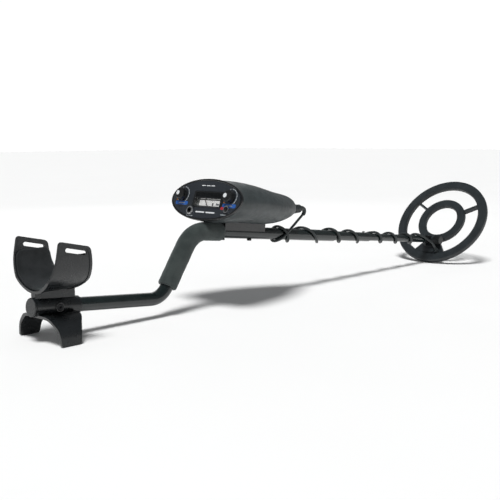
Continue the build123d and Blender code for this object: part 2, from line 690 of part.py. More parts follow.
SPEAKER_UP = 18.2
SPEAKER_RADIUS = 8.6
CONE_RADIUS = 6.8
MAGNET_RADIUS = 5.6
CONE_DEPTH = 2.4
with BuildPart() as speaker:
    with BuildSketch(panel_plane.offset(METER_FRONT)):
        with Locations((DISPLAY_RIGHT, SPEAKER_UP)):
            Circle(SPEAKER_RADIUS)
    extrude(amount=-4)
    with BuildSketch(panel_plane.offset(METER_FRONT - 4)):
        with Locations((DISPLAY_RIGHT, SPEAKER_UP)):
            Circle(MAGNET_RADIUS)
    extrude(amount=-6)
    with BuildSketch(panel_plane.offset(METER_FRONT)):
        with Locations((DISPLAY_RIGHT, SPEAKER_UP)):
            Circle(CONE_RADIUS)
    extrude(amount=-CONE_DEPTH, taper=45, mode=Mode.SUBTRACT)
save(speaker, "speaker")

KNOB_RADIUS = 9.6
KNOB_HEIGHT = 8.4
KNOB_CLEARANCE = 0.6
KNOB_CAVITY_RADIUS = 6.2
KNOB_CAVITY = 4.2
KNOB_BORE = 6.0
SHAFT_REACH = 5.8
SHAFT_RADIUS = 3.0
controls = {"sensitivity": KNOB_RIGHT, "mode": -KNOB_RIGHT}
for name, right in controls.items():
    with BuildPart() as knob:
        with BuildSketch(panel_offset(right, KNOB_UP, PLATE_FACE + KNOB_CLEARANCE)):
            Circle(KNOB_RADIUS)
        extrude(amount=KNOB_HEIGHT, taper=4)
        fillet(knob.faces().sort_by(Axis(panel_plane.origin, panel_face))[-1].edges(), 1.2)
        with BuildSketch(panel_offset(right, KNOB_UP, PLATE_FACE + KNOB_CLEARANCE)):
            Circle(KNOB_CAVITY_RADIUS)
        extrude(amount=KNOB_CAVITY, mode=Mode.SUBTRACT)
        with BuildSketch(panel_offset(right, KNOB_UP, PLATE_FACE + KNOB_CLEARANCE)):
            Circle(SHAFT_RADIUS + 0.02)
        extrude(amount=KNOB_BORE, mode=Mode.SUBTRACT)
    save(knob, name + "_knob")

    with BuildPart() as shaft:
        with BuildSketch(panel_offset(right, KNOB_UP, -4)):
            Circle(SHAFT_RADIUS)
        extrude(amount=PLATE_FACE + KNOB_CLEARANCE + SHAFT_REACH + 4)
    save(shaft, name + "_shaft")

    with BuildPart() as potentiometer:
        with BuildSketch(panel_offset(right, KNOB_UP, PLATE_SEAT - 1.6)):
            Circle(8.2)
        extrude(amount=-9)
        with BuildSketch(panel_offset(right, KNOB_UP, PLATE_SEAT - 1.6)):
            Circle(BUSH_RADIUS)
        extrude(amount=1.6 + PLATE_THICKNESS + 3.2)
        with BuildSketch(panel_offset(right, KNOB_UP, PLATE_SEAT - 1.6)):
            Circle(5.5)
        extrude(amount=1.6)
        with BuildSketch(panel_offset(right, KNOB_UP, -4.1)):
            Circle(SHAFT_RADIUS + 0.05)
        extrude(amount=20, mode=Mode.SUBTRACT)
    save(potentiometer, name + "_control")

    with BuildPart() as control_nut:
        with BuildSketch(panel_offset(right, KNOB_UP, PLATE_FACE)):
            RegularPolygon(5.4, 6)
            Circle(BUSH_RADIUS + 0.02, mode=Mode.SUBTRACT)
        extrude(amount=2.4)
    save(control_nut, name + "_control_nut")

JACK_BORE = 3.2
JACK_DEPTH = 14.0
JACK_NUT_RADIUS = 6.9
jack_front = PLATE_FACE + 3.2
with BuildPart() as headphone_jack:
    with BuildSketch(panel_offset(JACK_RIGHT, JACK_UP, jack_front)):
        Circle(JACK_THREAD_RADIUS)
    extrude(amount=PLATE_SEAT - jack_front)
    with BuildSketch(panel_offset(JACK_RIGHT, JACK_UP, PLATE_SEAT)):
        Circle(6.6)
    extrude(amount=-JACK_DEPTH)
    with BuildSketch(panel_offset(JACK_RIGHT, JACK_UP, jack_front)):
        Circle(JACK_BORE)
    extrude(amount=-JACK_DEPTH, mode=Mode.SUBTRACT)
save(headphone_jack, "headphone_jack")

with BuildPart() as jack_nut:
    with BuildSketch(panel_offset(JACK_RIGHT, JACK_UP, PLATE_FACE)):
        Circle(JACK_NUT_RADIUS)
        Circle(JACK_THREAD_RADIUS + 0.02, mode=Mode.SUBTRACT)
    extrude(amount=2.8)
    nut_edges = edges_of_radius(jack_nut, JACK_NUT_RADIUS)
    fillet(nut_edges.sort_by(Axis(panel_plane.origin, panel_face))[-1], 0.8)
save(jack_nut, "jack_nut")

TEST_NUT_RADIUS = 5.4
TEST_CAP_RADIUS = 2.8
TEST_TRAVEL = 1.5
with BuildPart() as test_switch:
    with BuildSketch(panel_offset(TEST_RIGHT, TEST_UP, PLATE_FACE + 2.6)):
        Circle(TEST_THREAD_RADIUS)
    extrude(amount=-2.6 - PLATE_THICKNESS)
    with BuildSketch(panel_offset(TEST_RIGHT, TEST_UP, PLATE_SEAT)):
        Circle(4.8)
    extrude(amount=-10)
    with BuildSketch(panel_offset(TEST_RIGHT, TEST_UP, PLATE_FACE + 2.6)):
        Circle(TEST_CAP_RADIUS + 0.08)
    extrude(amount=-7, mode=Mode.SUBTRACT)
save(test_switch, "test_switch")

with BuildPart() as test_nut:
    with BuildSketch(panel_offset(TEST_RIGHT, TEST_UP, PLATE_FACE)):
        Circle(TEST_NUT_RADIUS)
        Circle(TEST_THREAD_RADIUS + 0.02, mode=Mode.SUBTRACT)
    extrude(amount=2.2)
save(test_nut, "test_nut")

with BuildPart() as test_button:
    with BuildSketch(panel_offset(TEST_RIGHT, TEST_UP, PLATE_FACE + 2.6 - 5)):
        Circle(TEST_CAP_RADIUS)
    extrude(amount=5 + 1.8)
    cap_edges = edges_of_radius(test_button, TEST_CAP_RADIUS)
    fillet(cap_edges.sort_by(Axis(panel_plane.origin, panel_face))[-1], 0.9)
save(test_button, "test_button")

# ---- inside the housing ----
BOARD_OUT = -32.0
with BuildPart() as circuit_board:
    with BuildSketch(panel_plane.offset(BOARD_OUT)):
        RectangleRounded(90, 34, 3)
    extrude(amount=-1.6)
save(circuit_board, "circuit_board")

BATTERY_LENGTH = 48.5
BATTERY_WIDTH = 26.5
BATTERY_HEIGHT = 17.5
BATTERY_SIDE = 33.5
BATTERY_CENTRE = 399.0
BATTERY_CENTRE_HEIGHT = 154.7
battery_plane = cross_plane(BATTERY_CENTRE - BATTERY_LENGTH / 2, BATTERY_CENTRE_HEIGHT)
with BuildPart() as batteries:
    with BuildSketch(battery_plane):
        with Locations((-BATTERY_SIDE, 0), (BATTERY_SIDE, 0)):
            RectangleRounded(BATTERY_WIDTH, BATTERY_HEIGHT, 2)
    extrude(amount=-BATTERY_LENGTH)
save(batteries, "batteries")

with BuildPart() as battery_clips:
    with BuildSketch(battery_plane.offset(-BATTERY_LENGTH - 0.2)):
        with Locations((-BATTERY_SIDE, 0), (BATTERY_SIDE, 0)):
            RectangleRounded(25, 13, 3)
    extrude(amount=-3)
save(battery_clips, "battery_clips")

# ---- ribbed collar and elbow where the lead leaves the nose ----
COLLAR_START = NOSE_STATION
COLLAR_END = 546.3
COLLAR_HEIGHT = 142.0
RIB_COUNT = 5
RIB_PITCH = 4.2
ELBOW_RADIUS = 5.5
ELBOW_TURN = 152.0
ELBOW_SECTION = 3.5
collar_axis = Axis(at(0, COLLAR_HEIGHT), (1, 0, 0))
with BuildPart() as cable_collar:
    with BuildSketch(Plane.XZ):
        with BuildLine():
            Polyline(
                side(COLLAR_START, COLLAR_HEIGHT),
                side(COLLAR_START, COLLAR_HEIGHT + 8.2),
                side(COLLAR_START + 22, COLLAR_HEIGHT + 7.2),
                side(COLLAR_START + 25, COLLAR_HEIGHT + 5),
                side(COLLAR_END, COLLAR_HEIGHT + 4.2),
                side(COLLAR_END, COLLAR_HEIGHT),
                close=True,
            )
        make_face()
        rib_stations = [COLLAR_START + 3.4 + rib * RIB_PITCH for rib in range(RIB_COUNT)]
        with Locations([side(station, COLLAR_HEIGHT + 8.2) for station in rib_stations]):
            Rectangle(1.5, 2.4, mode=Mode.SUBTRACT)
    revolve(axis=collar_axis)
    with BuildSketch(cross_plane(COLLAR_END, COLLAR_HEIGHT)):
        Circle(CABLE_RADIUS)
    extrude(amount=40, mode=Mode.SUBTRACT)
save(cable_collar, "cable_collar")

elbow_centre = (COLLAR_END, COLLAR_HEIGHT - ELBOW_RADIUS)
with BuildPart() as strain_relief:
    with BuildLine(Plane.XZ) as elbow_line:
        CenterArc(side(*elbow_centre), ELBOW_RADIUS, 90, -ELBOW_TURN)
    with BuildSketch(Plane(origin=at(COLLAR_END, COLLAR_HEIGHT), x_dir=(0, 1, 0), z_dir=(1, 0, 0))):
        Circle(ELBOW_SECTION)
    sweep()
save(strain_relief, "strain_relief")


# ---- lower stem's tip: a plug in the tube with a flat tongue for the coil's ears ----
TONGUE_HALF_WIDTH = 6.3
TONGUE_RADIUS = 7.0
PIN_RADIUS = 3.0
PIN_HOLE = 3.05
hinge_side = Plane(origin=hinge, x_dir=stem_direction, z_dir=(0, -1, 0))
with BuildPart() as stem_tip:
    with BuildSketch(stem_plane.offset(LOWER_END - 26)):
        Circle(LOWER_BORE - 0.05)
    extrude(amount=26)
    with BuildSketch(stem_plane.offset(LOWER_END)):
        Circle(LOWER_RADIUS)
    extrude(amount=5)
    with BuildSketch(hinge_side):
        Circle(TONGUE_RADIUS)
        with Locations((-(HINGE_DISTANCE - LOWER_END - 5) / 2, 0)):
            Rectangle(HINGE_DISTANCE - LOWER_END - 5, 2 * TONGUE_RADIUS)
    extrude(amount=TONGUE_HALF_WIDTH, both=True)
    with BuildSketch(hinge_side):
        Circle(PIN_HOLE)
    extrude(amount=TONGUE_HALF_WIDTH + 2, both=True, mode=Mode.SUBTRACT)
save(stem_tip, "stem_tip")

# ---- search coil: an outer ring, an inner ring, two spokes and a web under the hinge ----
SHELL_SPLIT = -2.0
WEB_HALF_ANGLE = 27.0
WEB_TOP = 5.2
SPOKE_ANGLE = 30.0
SPOKE_WIDTH = 4.4
WINDING_TOP = 3.2
OUTER_WINDING = (87.5, 97.5)
INNER_WINDING = (40.0, 49.5)
HUB_HALF_WIDTH = 13.2
HUB_TOP = 8.0
EAR_INNER = 7.9
EAR_OUTER = 13.0
EAR_RADIUS = 8.6
GLAND_PLACE = (20.0, -76.0)
GLAND_TOP = 12.0
ring_plane = Plane(origin=coil_centre, x_dir=(0, -1, 0), z_dir=-coil_up)
coil_axis = Axis(coil_centre, coil_face)
ring_radii = ((OUTER_RING_INNER, COIL_RADIUS), (INNER_RING_INNER, INNER_RING_OUTER))
web_wedge = [
    (0, -30),
    (110 * sin(radians(WEB_HALF_ANGLE)), -110 * cos(radians(WEB_HALF_ANGLE))),
    (-110 * sin(radians(WEB_HALF_ANGLE)), -110 * cos(radians(WEB_HALF_ANGLE))),
]
hinge_right = Plane(origin=hinge, x_dir=coil_up, z_dir=(0, -1, 0))


def ring_section(inner, outer, bottom, top, radii):
    """One ring's section, turned about the coil's axis into the part being built."""
    with BuildPart() as ring:
        with BuildSketch(ring_plane):
            with BuildLine():
                FilletPolyline(
                    (inner, bottom), (inner, top), (outer, top), (outer, bottom), radius=radii, close=True
                )
            make_face()
        revolve(axis=coil_axis)
    return ring.part


def web_and_spokes(bottom, top):
    """The web under the hinge and the two spokes, from one height to another."""
    with BuildPart() as web:
        with BuildSketch(coil_plane.offset(bottom)):
            Circle(OUTER_RING_INNER + 0.6)
            Circle(INNER_RING_OUTER - 0.6, mode=Mode.SUBTRACT)
            Polygon(*web_wedge, align=None, mode=Mode.INTERSECT)
            for turn in (SPOKE_ANGLE, 180 - SPOKE_ANGLE):
                with Locations(Rotation(0, 0, turn)):
                    with Locations(((OUTER_RING_INNER + INNER_RING_OUTER) / 2, 0)):
                        Rectangle(OUTER_RING_INNER - INNER_RING_OUTER + 1.2, SPOKE_WIDTH)
        extrude(amount=top - bottom)
    return web.part


with BuildPart() as coil_shell:
    for inner, outer in ring_radii:
        add(ring_section(inner, outer, SHELL_SPLIT, half_coil, [0, COIL_EDGE, COIL_EDGE, 0]))
    add(web_and_spokes(SHELL_SPLIT, WEB_TOP))
    with BuildSketch(coil_plane.offset(SHELL_SPLIT)):
        for inner, outer in (OUTER_WINDING, INNER_WINDING):
            Circle(outer)
            Circle(inner, mode=Mode.SUBTRACT)
    extrude(amount=WINDING_TOP - SHELL_SPLIT, mode=Mode.SUBTRACT)
    with BuildSketch(coil_plane.offset(WEB_TOP - 1)):
        with Locations((0, -hub_drop - 8)):
            RectangleRounded(2 * HUB_HALF_WIDTH, 34, 3)
    extrude(amount=HUB_TOP - WEB_TOP + 1)
    with BuildSketch(hinge_right):
        Circle(EAR_RADIUS)
        with BuildLine():
            Polyline(
                (-13, HUB_TOP - 1 - HINGE_LIFT),
                (-EAR_RADIUS, 0),
                (EAR_RADIUS, 0),
                (11, HUB_TOP - 1 - HINGE_LIFT),
                close=True,
            )
        make_face()
    extrude(amount=EAR_OUTER, both=True)
    with BuildSketch(hinge_right):
        Circle(EAR_RADIUS + 6)
        Rectangle(60, 2 * (HINGE_LIFT - HUB_TOP), mode=Mode.INTERSECT)
        with Locations((0, HINGE_LIFT / 2)):
            Rectangle(60, HINGE_LIFT)
    extrude(amount=EAR_INNER, both=True, mode=Mode.SUBTRACT)
    with BuildSketch(hinge_right):
        Circle(PIN_HOLE)
    extrude(amount=EAR_OUTER + 2, both=True, mode=Mode.SUBTRACT)
    with BuildSketch(coil_plane.offset(WEB_TOP)):
        with Locations(GLAND_PLACE):
            Circle(3.4)
    extrude(amount=-3, mode=Mode.SUBTRACT)
save(coil_shell, "coil_shell")

with BuildPart() as coil_cover:
    for inner, outer in ring_radii:
        add(ring_section(inner, outer, -half_coil, SHELL_SPLIT, [COIL_EDGE, 0, 0, COIL_EDGE]))
    add(web_and_spokes(-WEB_TOP, SHELL_SPLIT))
save(coil_cover, "coil_cover")

WINDING_GAP = 0.6
for name, (inner, outer) in {"transmit_winding": OUTER_WINDING, "receive_winding": INNER_WINDING}.items():
    with BuildPart() as winding:
        with BuildSketch(coil_plane.offset(SHELL_SPLIT + 0.3)):
            Circle(outer - WINDING_GAP)
            Circle(inner + WINDING_GAP, mode=Mode.SUBTRACT)
        extrude(amount=WINDING_TOP - SHELL_SPLIT - 0.9)
    save(winding, name)

with BuildPart() as cable_gland:
    with BuildSketch(coil_plane.offset(WEB_TOP - 2.8)):
        with Locations(GLAND_PLACE):
            Circle(3.3)
    extrude(amount=2.8)
    with BuildSketch(coil_plane.offset(WEB_TOP)):
        with Locations(GLAND_PLACE):
            Circle(5.0)
    extrude(amount=GLAND_TOP - WEB_TOP, taper=9)
    with BuildSketch(coil_plane.offset(GLAND_TOP)):
        with Locations(GLAND_PLACE):
            Circle(CABLE_RADIUS + 0.02)
    extrude(amount=-7, mode=Mode.SUBTRACT)
save(cable_gland, "cable_gland")

# ---- hinge hardware ----
WASHER_RADIUS = 7.0
KNOB_START = 13.1
COIL_KNOB_RADIUS = 8.6
COIL_KNOB_LENGTH = 14.0
KNURL_COUNT = 20
with BuildPart() as hinge_washers:
    for start in (TONGUE_HALF_WIDTH + 0.05, -EAR_INNER + 0.05):
        with BuildSketch(hinge_right.offset(start)):
            Circle(WASHER_RADIUS)
            Circle(PIN_HOLE, mode=Mode.SUBTRACT)
        extrude(amount=EAR_INNER - TONGUE_HALF_WIDTH - 0.1)
save(hinge_washers, "hinge_washers")

with BuildPart() as hinge_bolt:
    with BuildSketch(hinge_right.offset(-EAR_OUTER - 0.05)):
        Circle(PIN_RADIUS)
    extrude(amount=2 * EAR_OUTER + 9)
    with BuildSketch(hinge_right.offset(-EAR_OUTER - 0.05)):
        Circle(5.2)
    extrude(amount=-3.2)
    fillet(edges_of_radius(hinge_bolt, 5.2).sort_by(Axis.Y)[-1], 1.2)
save(hinge_bolt, "hinge_bolt")

with BuildPart() as hinge_knob:
    with BuildSketch(hinge_right.offset(KNOB_START)):
        Circle(COIL_KNOB_RADIUS)
        with PolarLocations(COIL_KNOB_RADIUS + 0.4, KNURL_COUNT):
            Circle(0.9, mode=Mode.SUBTRACT)
    extrude(amount=COIL_KNOB_LENGTH)
    with BuildSketch(hinge_right.offset(KNOB_START)):
        Circle(PIN_RADIUS + 0.05)
    extrude(amount=9.5, mode=Mode.SUBTRACT)
save(hinge_knob, "hinge_knob")

# ---- coil lead: one cable from the nose, wound along the stem, into the coil ----
# Distances past the upper bend where the cable crosses under the stem and over it, in turn.
CROSSINGS = [
    189.1, 195.4, 222.5, 260.1, 305, 340, 369, 396.1, 425.8, 480.7, 502, 531.2, 554.7, 588.6, 608.4, 629.7,
]
POINTS_PER_HALF_TURN = 5
WIND_ALLOWANCE = 2.6
STEP_ALLOWANCE = 6.0
wind_step = 180 / POINTS_PER_HALF_TURN


def wind_radius(distance):
    """Radius of the route's corners, so that its straight runs clear the stem at that distance."""
    stem_radius = LOWER_RADIUS
    if distance < ROD_END + STEP_ALLOWANCE:
        stem_radius = ROD_RADIUS
    elif distance < MIDDLE_END + STEP_ALLOWANCE:
        stem_radius = MIDDLE_RADIUS
    return (stem_radius + WIND_ALLOWANCE) / cos(radians(wind_step / 2))


def wound_point(distance, turned):
    """A point of the winding: turned is 0 over the stem, 90 on its right and 180 under it."""
    radius = wind_radius(distance)
    return stem_point(distance, up=radius * cos(radians(turned)), left=-radius * sin(radians(turned)))


elbow_end = at(
    COLLAR_END + ELBOW_RADIUS * sin(radians(ELBOW_TURN)),
    COLLAR_HEIGHT - ELBOW_RADIUS + ELBOW_RADIUS * cos(radians(ELBOW_TURN)),
)
gland_mouth = coil_plane.from_local_coords(Vector(*GLAND_PLACE, GLAND_TOP - 6))
route = [elbow_end, stem_point(228.5, up=14.5, left=-6.4), stem_point(201.5, up=-2.4, left=-13.2)]
route.append(wound_point(193.5, 135))
for crossing in range(len(CROSSINGS) - 1):
    start, end = CROSSINGS[crossing], CROSSINGS[crossing + 1]
    for step in range(POINTS_PER_HALF_TURN):
        share = step / POINTS_PER_HALF_TURN
        route.append(wound_point(start + (end - start) * share, 180 * (crossing + 1 + share)))
route.append(wound_point(CROSSINGS[-1], 0))
route.append(wound_point(638.5, 42))
route.append(stem_point(650, up=3.4, left=-10.2))
route.append(stem_point(664, up=-3.5, left=-13.5))
route.append(coil_plane.from_local_coords(Vector(17.5, -70.0, 23.0)))
route.append(coil_plane.from_local_coords(Vector(*GLAND_PLACE, GLAND_TOP + 3.5)))
route.append(gland_mouth)


def corner_radius(before, corner, after):
    """The largest bend that the two runs beside a corner leave room for."""
    first, second = corner - before, after - corner
    half_turn = radians(first.get_angle(second)) / 2
    return 0.45 * min(first.length, second.length) / tan(half_turn)


lead_radii = [corner_radius(*route[n - 1:n + 2]) for n in range(1, len(route) - 1)]
with BuildPart() as coil_lead:
    with BuildLine() as lead_line:
        FilletPolyline(*route, radius=lead_radii)
    with BuildSketch(Plane(origin=route[0], z_dir=route[1] - route[0])):
        Circle(CABLE_RADIUS)
    sweep()
save(coil_lead, "coil_lead")

lead_length = sum(edge.length for edge in lead_line.edges())
straight_volume = pi * CABLE_RADIUS**2 * lead_length
print("lead length", round(lead_length), "volume ratio", coil_lead.part.volume / straight_volume)
print("tightest bend", round(min(lead_radii), 1), "radii", [round(radius, 1) for radius in lead_radii])
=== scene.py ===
import bpy
import bmesh
import json
from math import cos, pi, radians, sin, sqrt, tan
from mathutils import Matrix, Vector


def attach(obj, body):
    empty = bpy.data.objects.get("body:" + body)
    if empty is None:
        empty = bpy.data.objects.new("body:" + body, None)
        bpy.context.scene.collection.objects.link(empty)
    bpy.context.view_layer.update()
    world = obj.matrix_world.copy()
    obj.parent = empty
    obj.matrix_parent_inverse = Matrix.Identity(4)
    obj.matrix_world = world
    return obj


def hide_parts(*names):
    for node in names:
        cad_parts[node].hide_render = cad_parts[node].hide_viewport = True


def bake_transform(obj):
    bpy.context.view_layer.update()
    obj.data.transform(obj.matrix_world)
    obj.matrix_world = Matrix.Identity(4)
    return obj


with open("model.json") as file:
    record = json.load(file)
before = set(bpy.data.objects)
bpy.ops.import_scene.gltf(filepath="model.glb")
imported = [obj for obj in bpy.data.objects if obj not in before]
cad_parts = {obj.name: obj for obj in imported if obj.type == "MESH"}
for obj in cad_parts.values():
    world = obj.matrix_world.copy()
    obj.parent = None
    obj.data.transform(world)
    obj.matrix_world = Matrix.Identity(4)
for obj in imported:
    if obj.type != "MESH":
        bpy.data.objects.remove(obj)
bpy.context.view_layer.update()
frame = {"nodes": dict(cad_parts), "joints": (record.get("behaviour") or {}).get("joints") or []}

MM = 0.001
joints = {joint["name"]: joint for joint in frame["joints"]}
scene = bpy.context.scene

# ---- places taken from the frame ----
HINGE_DISTANCE = 685.0
HUB_DROP = 56.16
HINGE_LIFT = 17.0
COIL_LEAN = radians(53.0)
KNOB_RIGHT = 53.5
KNOB_UP = 6.0
PLATE_FACE = 3.4

stem_direction = Vector(joints["upper_slide"]["axis"]).normalized()
left = Vector((0, 1, 0))
stem_up = stem_direction.cross(left)
hinge = Vector(joints["coil_tilt"]["pos_m"])
upper_bend = hinge - stem_direction * HINGE_DISTANCE * MM
coil_up = Vector((cos(COIL_LEAN), 0, sin(COIL_LEAN)))
coil_face = Vector((-sin(COIL_LEAN), 0, cos(COIL_LEAN)))
coil_centre = hinge - coil_face * HINGE_LIFT * MM + coil_up * HUB_DROP * MM
panel_face = Vector(joints["sensitivity_turn"]["axis"]).normalized()
panel_up = Vector((panel_face.z, 0, -panel_face.x))
knob_place = Vector(joints["sensitivity_turn"]["pos_m"])
panel_origin = Vector((knob_place.x, 0, knob_place.z)) - panel_up * KNOB_UP * MM


def stem_point(distance, up=0.0, aside=0.0):
    """A point at a distance past the upper bend, with offsets up and to the left, in mm."""
    return upper_bend + (stem_direction * distance + stem_up * up + left * aside) * MM


def panel_point(right, up, out=0.0):
    """A point in the control panel's directions, out from the plate's face, in mm."""
    return panel_origin + (panel_up * up - left * right + panel_face * (PLATE_FACE + out)) * MM


def coil_point(right, up, out):
    """A point in the coil's own directions, in mm."""
    return coil_centre + (coil_up * up - left * right + coil_face * out) * MM


# ---- node helpers ----
def node(tree, kind, **settings):
    """A shader node with its settings."""
    made = tree.nodes.new(kind)
    for key, value in settings.items():
        setattr(made, key, value)
    return made


def place(tree, stretch=(1, 1, 1), turn=(0, 0, 0)):
    """Object coordinates in metres, stretched and turned."""
    source = node(tree, "ShaderNodeTexCoord")
    mapping = node(tree, "ShaderNodeMapping")
    mapping.inputs["Scale"].default_value = stretch
    mapping.inputs["Rotation"].default_value = turn
    tree.links.new(source.outputs["Object"], mapping.inputs["Vector"])
    return mapping.outputs["Vector"]


def noise(tree, vector, scale, detail=4.0, rough=0.55):
    """A noise field."""
    made = node(tree, "ShaderNodeTexNoise")
    made.inputs["Scale"].default_value = scale
    made.inputs["Detail"].default_value = detail
    made.inputs["Roughness"].default_value = rough
    tree.links.new(vector, made.inputs["Vector"])
    return made.outputs["Fac"]


def cells(tree, vector, scale):
    """A field of small cells: the distance to the nearest cell's middle."""
    made = node(tree, "ShaderNodeTexVoronoi", feature="F1")
    made.inputs["Scale"].default_value = scale
    tree.links.new(vector, made.inputs["Vector"])
    return made.outputs["Distance"]


def steps(tree, value, low, high, first, last):
    """The value read from low to high as a number from first to last."""
    made = node(tree, "ShaderNodeMapRange")
    made.inputs["From Min"].default_value = low
    made.inputs["From Max"].default_value = high
    made.inputs["To Min"].default_value = first
    made.inputs["To Max"].default_value = last
    tree.links.new(value, made.inputs["Value"])
    return made.outputs["Result"]


def blend_colours(tree, factor, first, second):
    """Two colours, or a colour and an output, mixed by a field."""
    made = node(tree, "ShaderNodeMix", data_type="RGBA")
    tree.links.new(factor, made.inputs["Factor"])
    for socket, colour in ((made.inputs[6], first), (made.inputs[7], second)):
        if isinstance(colour, tuple):
            socket.default_value = (*colour, 1.0)
        else:
            tree.links.new(colour, socket)
    return made.outputs[2]


def bump(tree, height, depth, strength, below=None):
    """A bump of a height field, over another bump where one is given."""
    made = node(tree, "ShaderNodeBump")
    made.inputs["Strength"].default_value = strength
    made.inputs["Distance"].default_value = depth
    tree.links.new(height, made.inputs["Height"])
    if below is not None:
        tree.links.new(below, made.inputs["Normal"])
    return made.outputs["Normal"]


def shader(name, **constants):
    """A material with a Principled shader, its constant values set on the sockets."""
    made = bpy.data.materials.new(name)
    made.use_nodes = True
    principled = made.node_tree.nodes["Principled BSDF"]
    for key, value in constants.items():
        principled.inputs[key.replace("_", " ")].default_value = value
    return made, made.node_tree, principled


def link(tree, principled, **outputs):
    """Joins fields to the Principled shader's sockets."""
    for key, output in outputs.items():
        tree.links.new(output, principled.inputs[key.replace("_", " ")])


# ---- materials ----
def enamel():
    """Gloss black-green paint on tube: slight orange peel, fine rubbed lines along the tube, small chips."""
    made, tree, principled = shader(
        "stem_enamel", Specular_IOR_Level=0.5, Coat_Weight=0.35, Coat_Roughness=0.06
    )
    here = place(tree)
    along = place(tree, stretch=(14, 620, 620))
    cloud = noise(tree, here, 38, 3)
    rubbed = noise(tree, along, 1.0, 5, 0.6)
    shade = steps(tree, cloud, 0.35, 0.65, 0, 1)
    tone = blend_colours(tree, shade, (0.0026, 0.0066, 0.0068), (0.0058, 0.0115, 0.0115))
    chips = steps(tree, noise(tree, here, 260, 6, 0.7), 0.735, 0.765, 0, 1)
    colour = blend_colours(tree, chips, tone, (0.11, 0.115, 0.115))
    rough = steps(tree, rubbed, 0.3, 0.75, 0.13, 0.30)
    peel = bump(tree, noise(tree, here, 520, 2), 0.00012, 0.35)
    lines = bump(tree, rubbed, 0.00004, 0.3, peel)
    link(tree, principled, Base_Color=colour, Roughness=rough, Normal=lines)
    return made


def moulded(name, dark, light, rough, grain, depth, coat, wear):
    """Moulded plastic: a fine eroded grain, slow changes of tone, and faint rubbed patches."""
    made, tree, principled = shader(name, Specular_IOR_Level=0.5, Coat_Weight=coat, Coat_Roughness=0.12)
    here = place(tree)
    cloud = steps(tree, noise(tree, here, 45, 4), 0.32, 0.68, 0, 1)
    fine = noise(tree, here, grain, 3, 0.6)
    pits = cells(tree, here, grain * 0.8)
    tone = blend_colours(tree, cloud, dark, light)
    speck = blend_colours(tree, steps(tree, fine, 0.55, 0.8, 0, 0.55), tone, tuple(2.1 * c for c in light))
    scuff = noise(tree, place(tree, stretch=(30, 260, 90), turn=(0.3, 0.5, 0.2)), 1.0, 6, 0.7)
    marks = steps(tree, scuff, 0.62, 0.80, 0, wear)
    colour = blend_colours(tree, marks, speck, tuple(2.6 * c + 0.004 for c in light))
    gloss = steps(tree, noise(tree, here, 130, 5, 0.6), 0.3, 0.7, rough - 0.07, rough + 0.09)
    coarse = bump(tree, pits, depth, 0.5)
    normal = bump(tree, fine, depth * 0.8, 0.6, coarse)
    link(tree, principled, Base_Color=colour, Roughness=gloss, Normal=normal)
    return made


def foam(name, dark, light, cell, depth, rough):
    """Closed-cell foam: small open pits with painted shade darkening their bottoms, and a soft bloom."""
    made, tree, principled = shader(
        name, Specular_IOR_Level=0.35, Sheen_Weight=0.25, Sheen_Roughness=0.5, Sheen_Tint=(0.8, 0.9, 0.9, 1)
    )
    here = place(tree)
    pits = cells(tree, here, cell)
    small = noise(tree, here, cell * 2.2, 3, 0.7)
    cloud = steps(tree, noise(tree, here, 60, 3), 0.35, 0.65, 0, 1)
    tone = blend_colours(tree, cloud, dark, light)
    # painted shade: the colour darkens towards each pit's middle, where the pit is deepest
    colour = blend_colours(tree, steps(tree, pits, 0.05, 0.4, 0.7, 0), tone, tuple(0.35 * c for c in dark))
    normal = bump(tree, pits, depth, 0.7)
    fine = bump(tree, small, depth * 0.6, 0.6, normal)
    gloss = steps(tree, small, 0.3, 0.7, rough - 0.05, rough + 0.08)
    link(tree, principled, Base_Color=colour, Roughness=gloss, Normal=fine)
    return made


def metal(name, dark, light, rough, stretch, metallic):
    """Turned or brushed metal with fine lines and faint tarnish."""
    made, tree, principled = shader(name, Metallic=metallic, Specular_IOR_Level=0.5)
    lines = noise(tree, place(tree, stretch=stretch), 1.0, 5, 0.65)
    tarnish = steps(tree, noise(tree, place(tree), 300, 4), 0.35, 0.7, 0, 1)
    colour = blend_colours(tree, tarnish, light, dark)
    gloss = steps(tree, lines, 0.3, 0.7, rough * 0.7, rough * 1.4)
    normal = bump(tree, lines, 0.00003, 0.35)
    link(tree, principled, Base_Color=colour, Roughness=gloss, Normal=normal)
    return made


def printed(name, colour_a, colour_b, rough, glow):
    """Screen print or paper: a nearly even colour with the ink's fine mottling, and, where a glow is given,
    an emission that paints light onto the surface though it is no lamp.
    """
    made, tree, principled = shader(name, Specular_IOR_Level=0.4)
    mottle = noise(tree, place(tree), 1500, 4, 0.6)
    cloud = noise(tree, place(tree), 160, 2)
    first = blend_colours(tree, steps(tree, mottle, 0.35, 0.65, 0, 1), colour_a, colour_b)
    faded = tuple(0.86 * c for c in colour_a)
    colour = blend_colours(tree, steps(tree, cloud, 0.3, 0.7, 0, 0.5), first, faded)
    normal = bump(tree, mottle, 0.00002, 0.4)
    gloss = steps(tree, cloud, 0.3, 0.7, rough - 0.05, rough + 0.05)
    link(tree, principled, Base_Color=colour, Roughness=gloss, Normal=normal)
    # painted light: the surface emits its own colour, though it is no lamp
    if glow:
        link(tree, principled, Emission_Color=colour)
        principled.inputs["Emission Strength"].default_value = glow
    return made


def clear_window():
    """A clear meter window with faint wiping marks."""
    made, tree, principled = shader("meter_glass", Alpha=0.07, Specular_IOR_Level=0.6)
    wiped = noise(tree, place(tree, stretch=(80, 30, 500)), 1.0, 4)
    colour = blend_colours(tree, steps(tree, wiped, 0.3, 0.7, 0, 1), (0.86, 0.9, 0.9), (0.7, 0.75, 0.75))
    link(tree, principled, Base_Color=colour, Roughness=steps(tree, wiped, 0.4, 0.8, 0.03, 0.12))
    return made


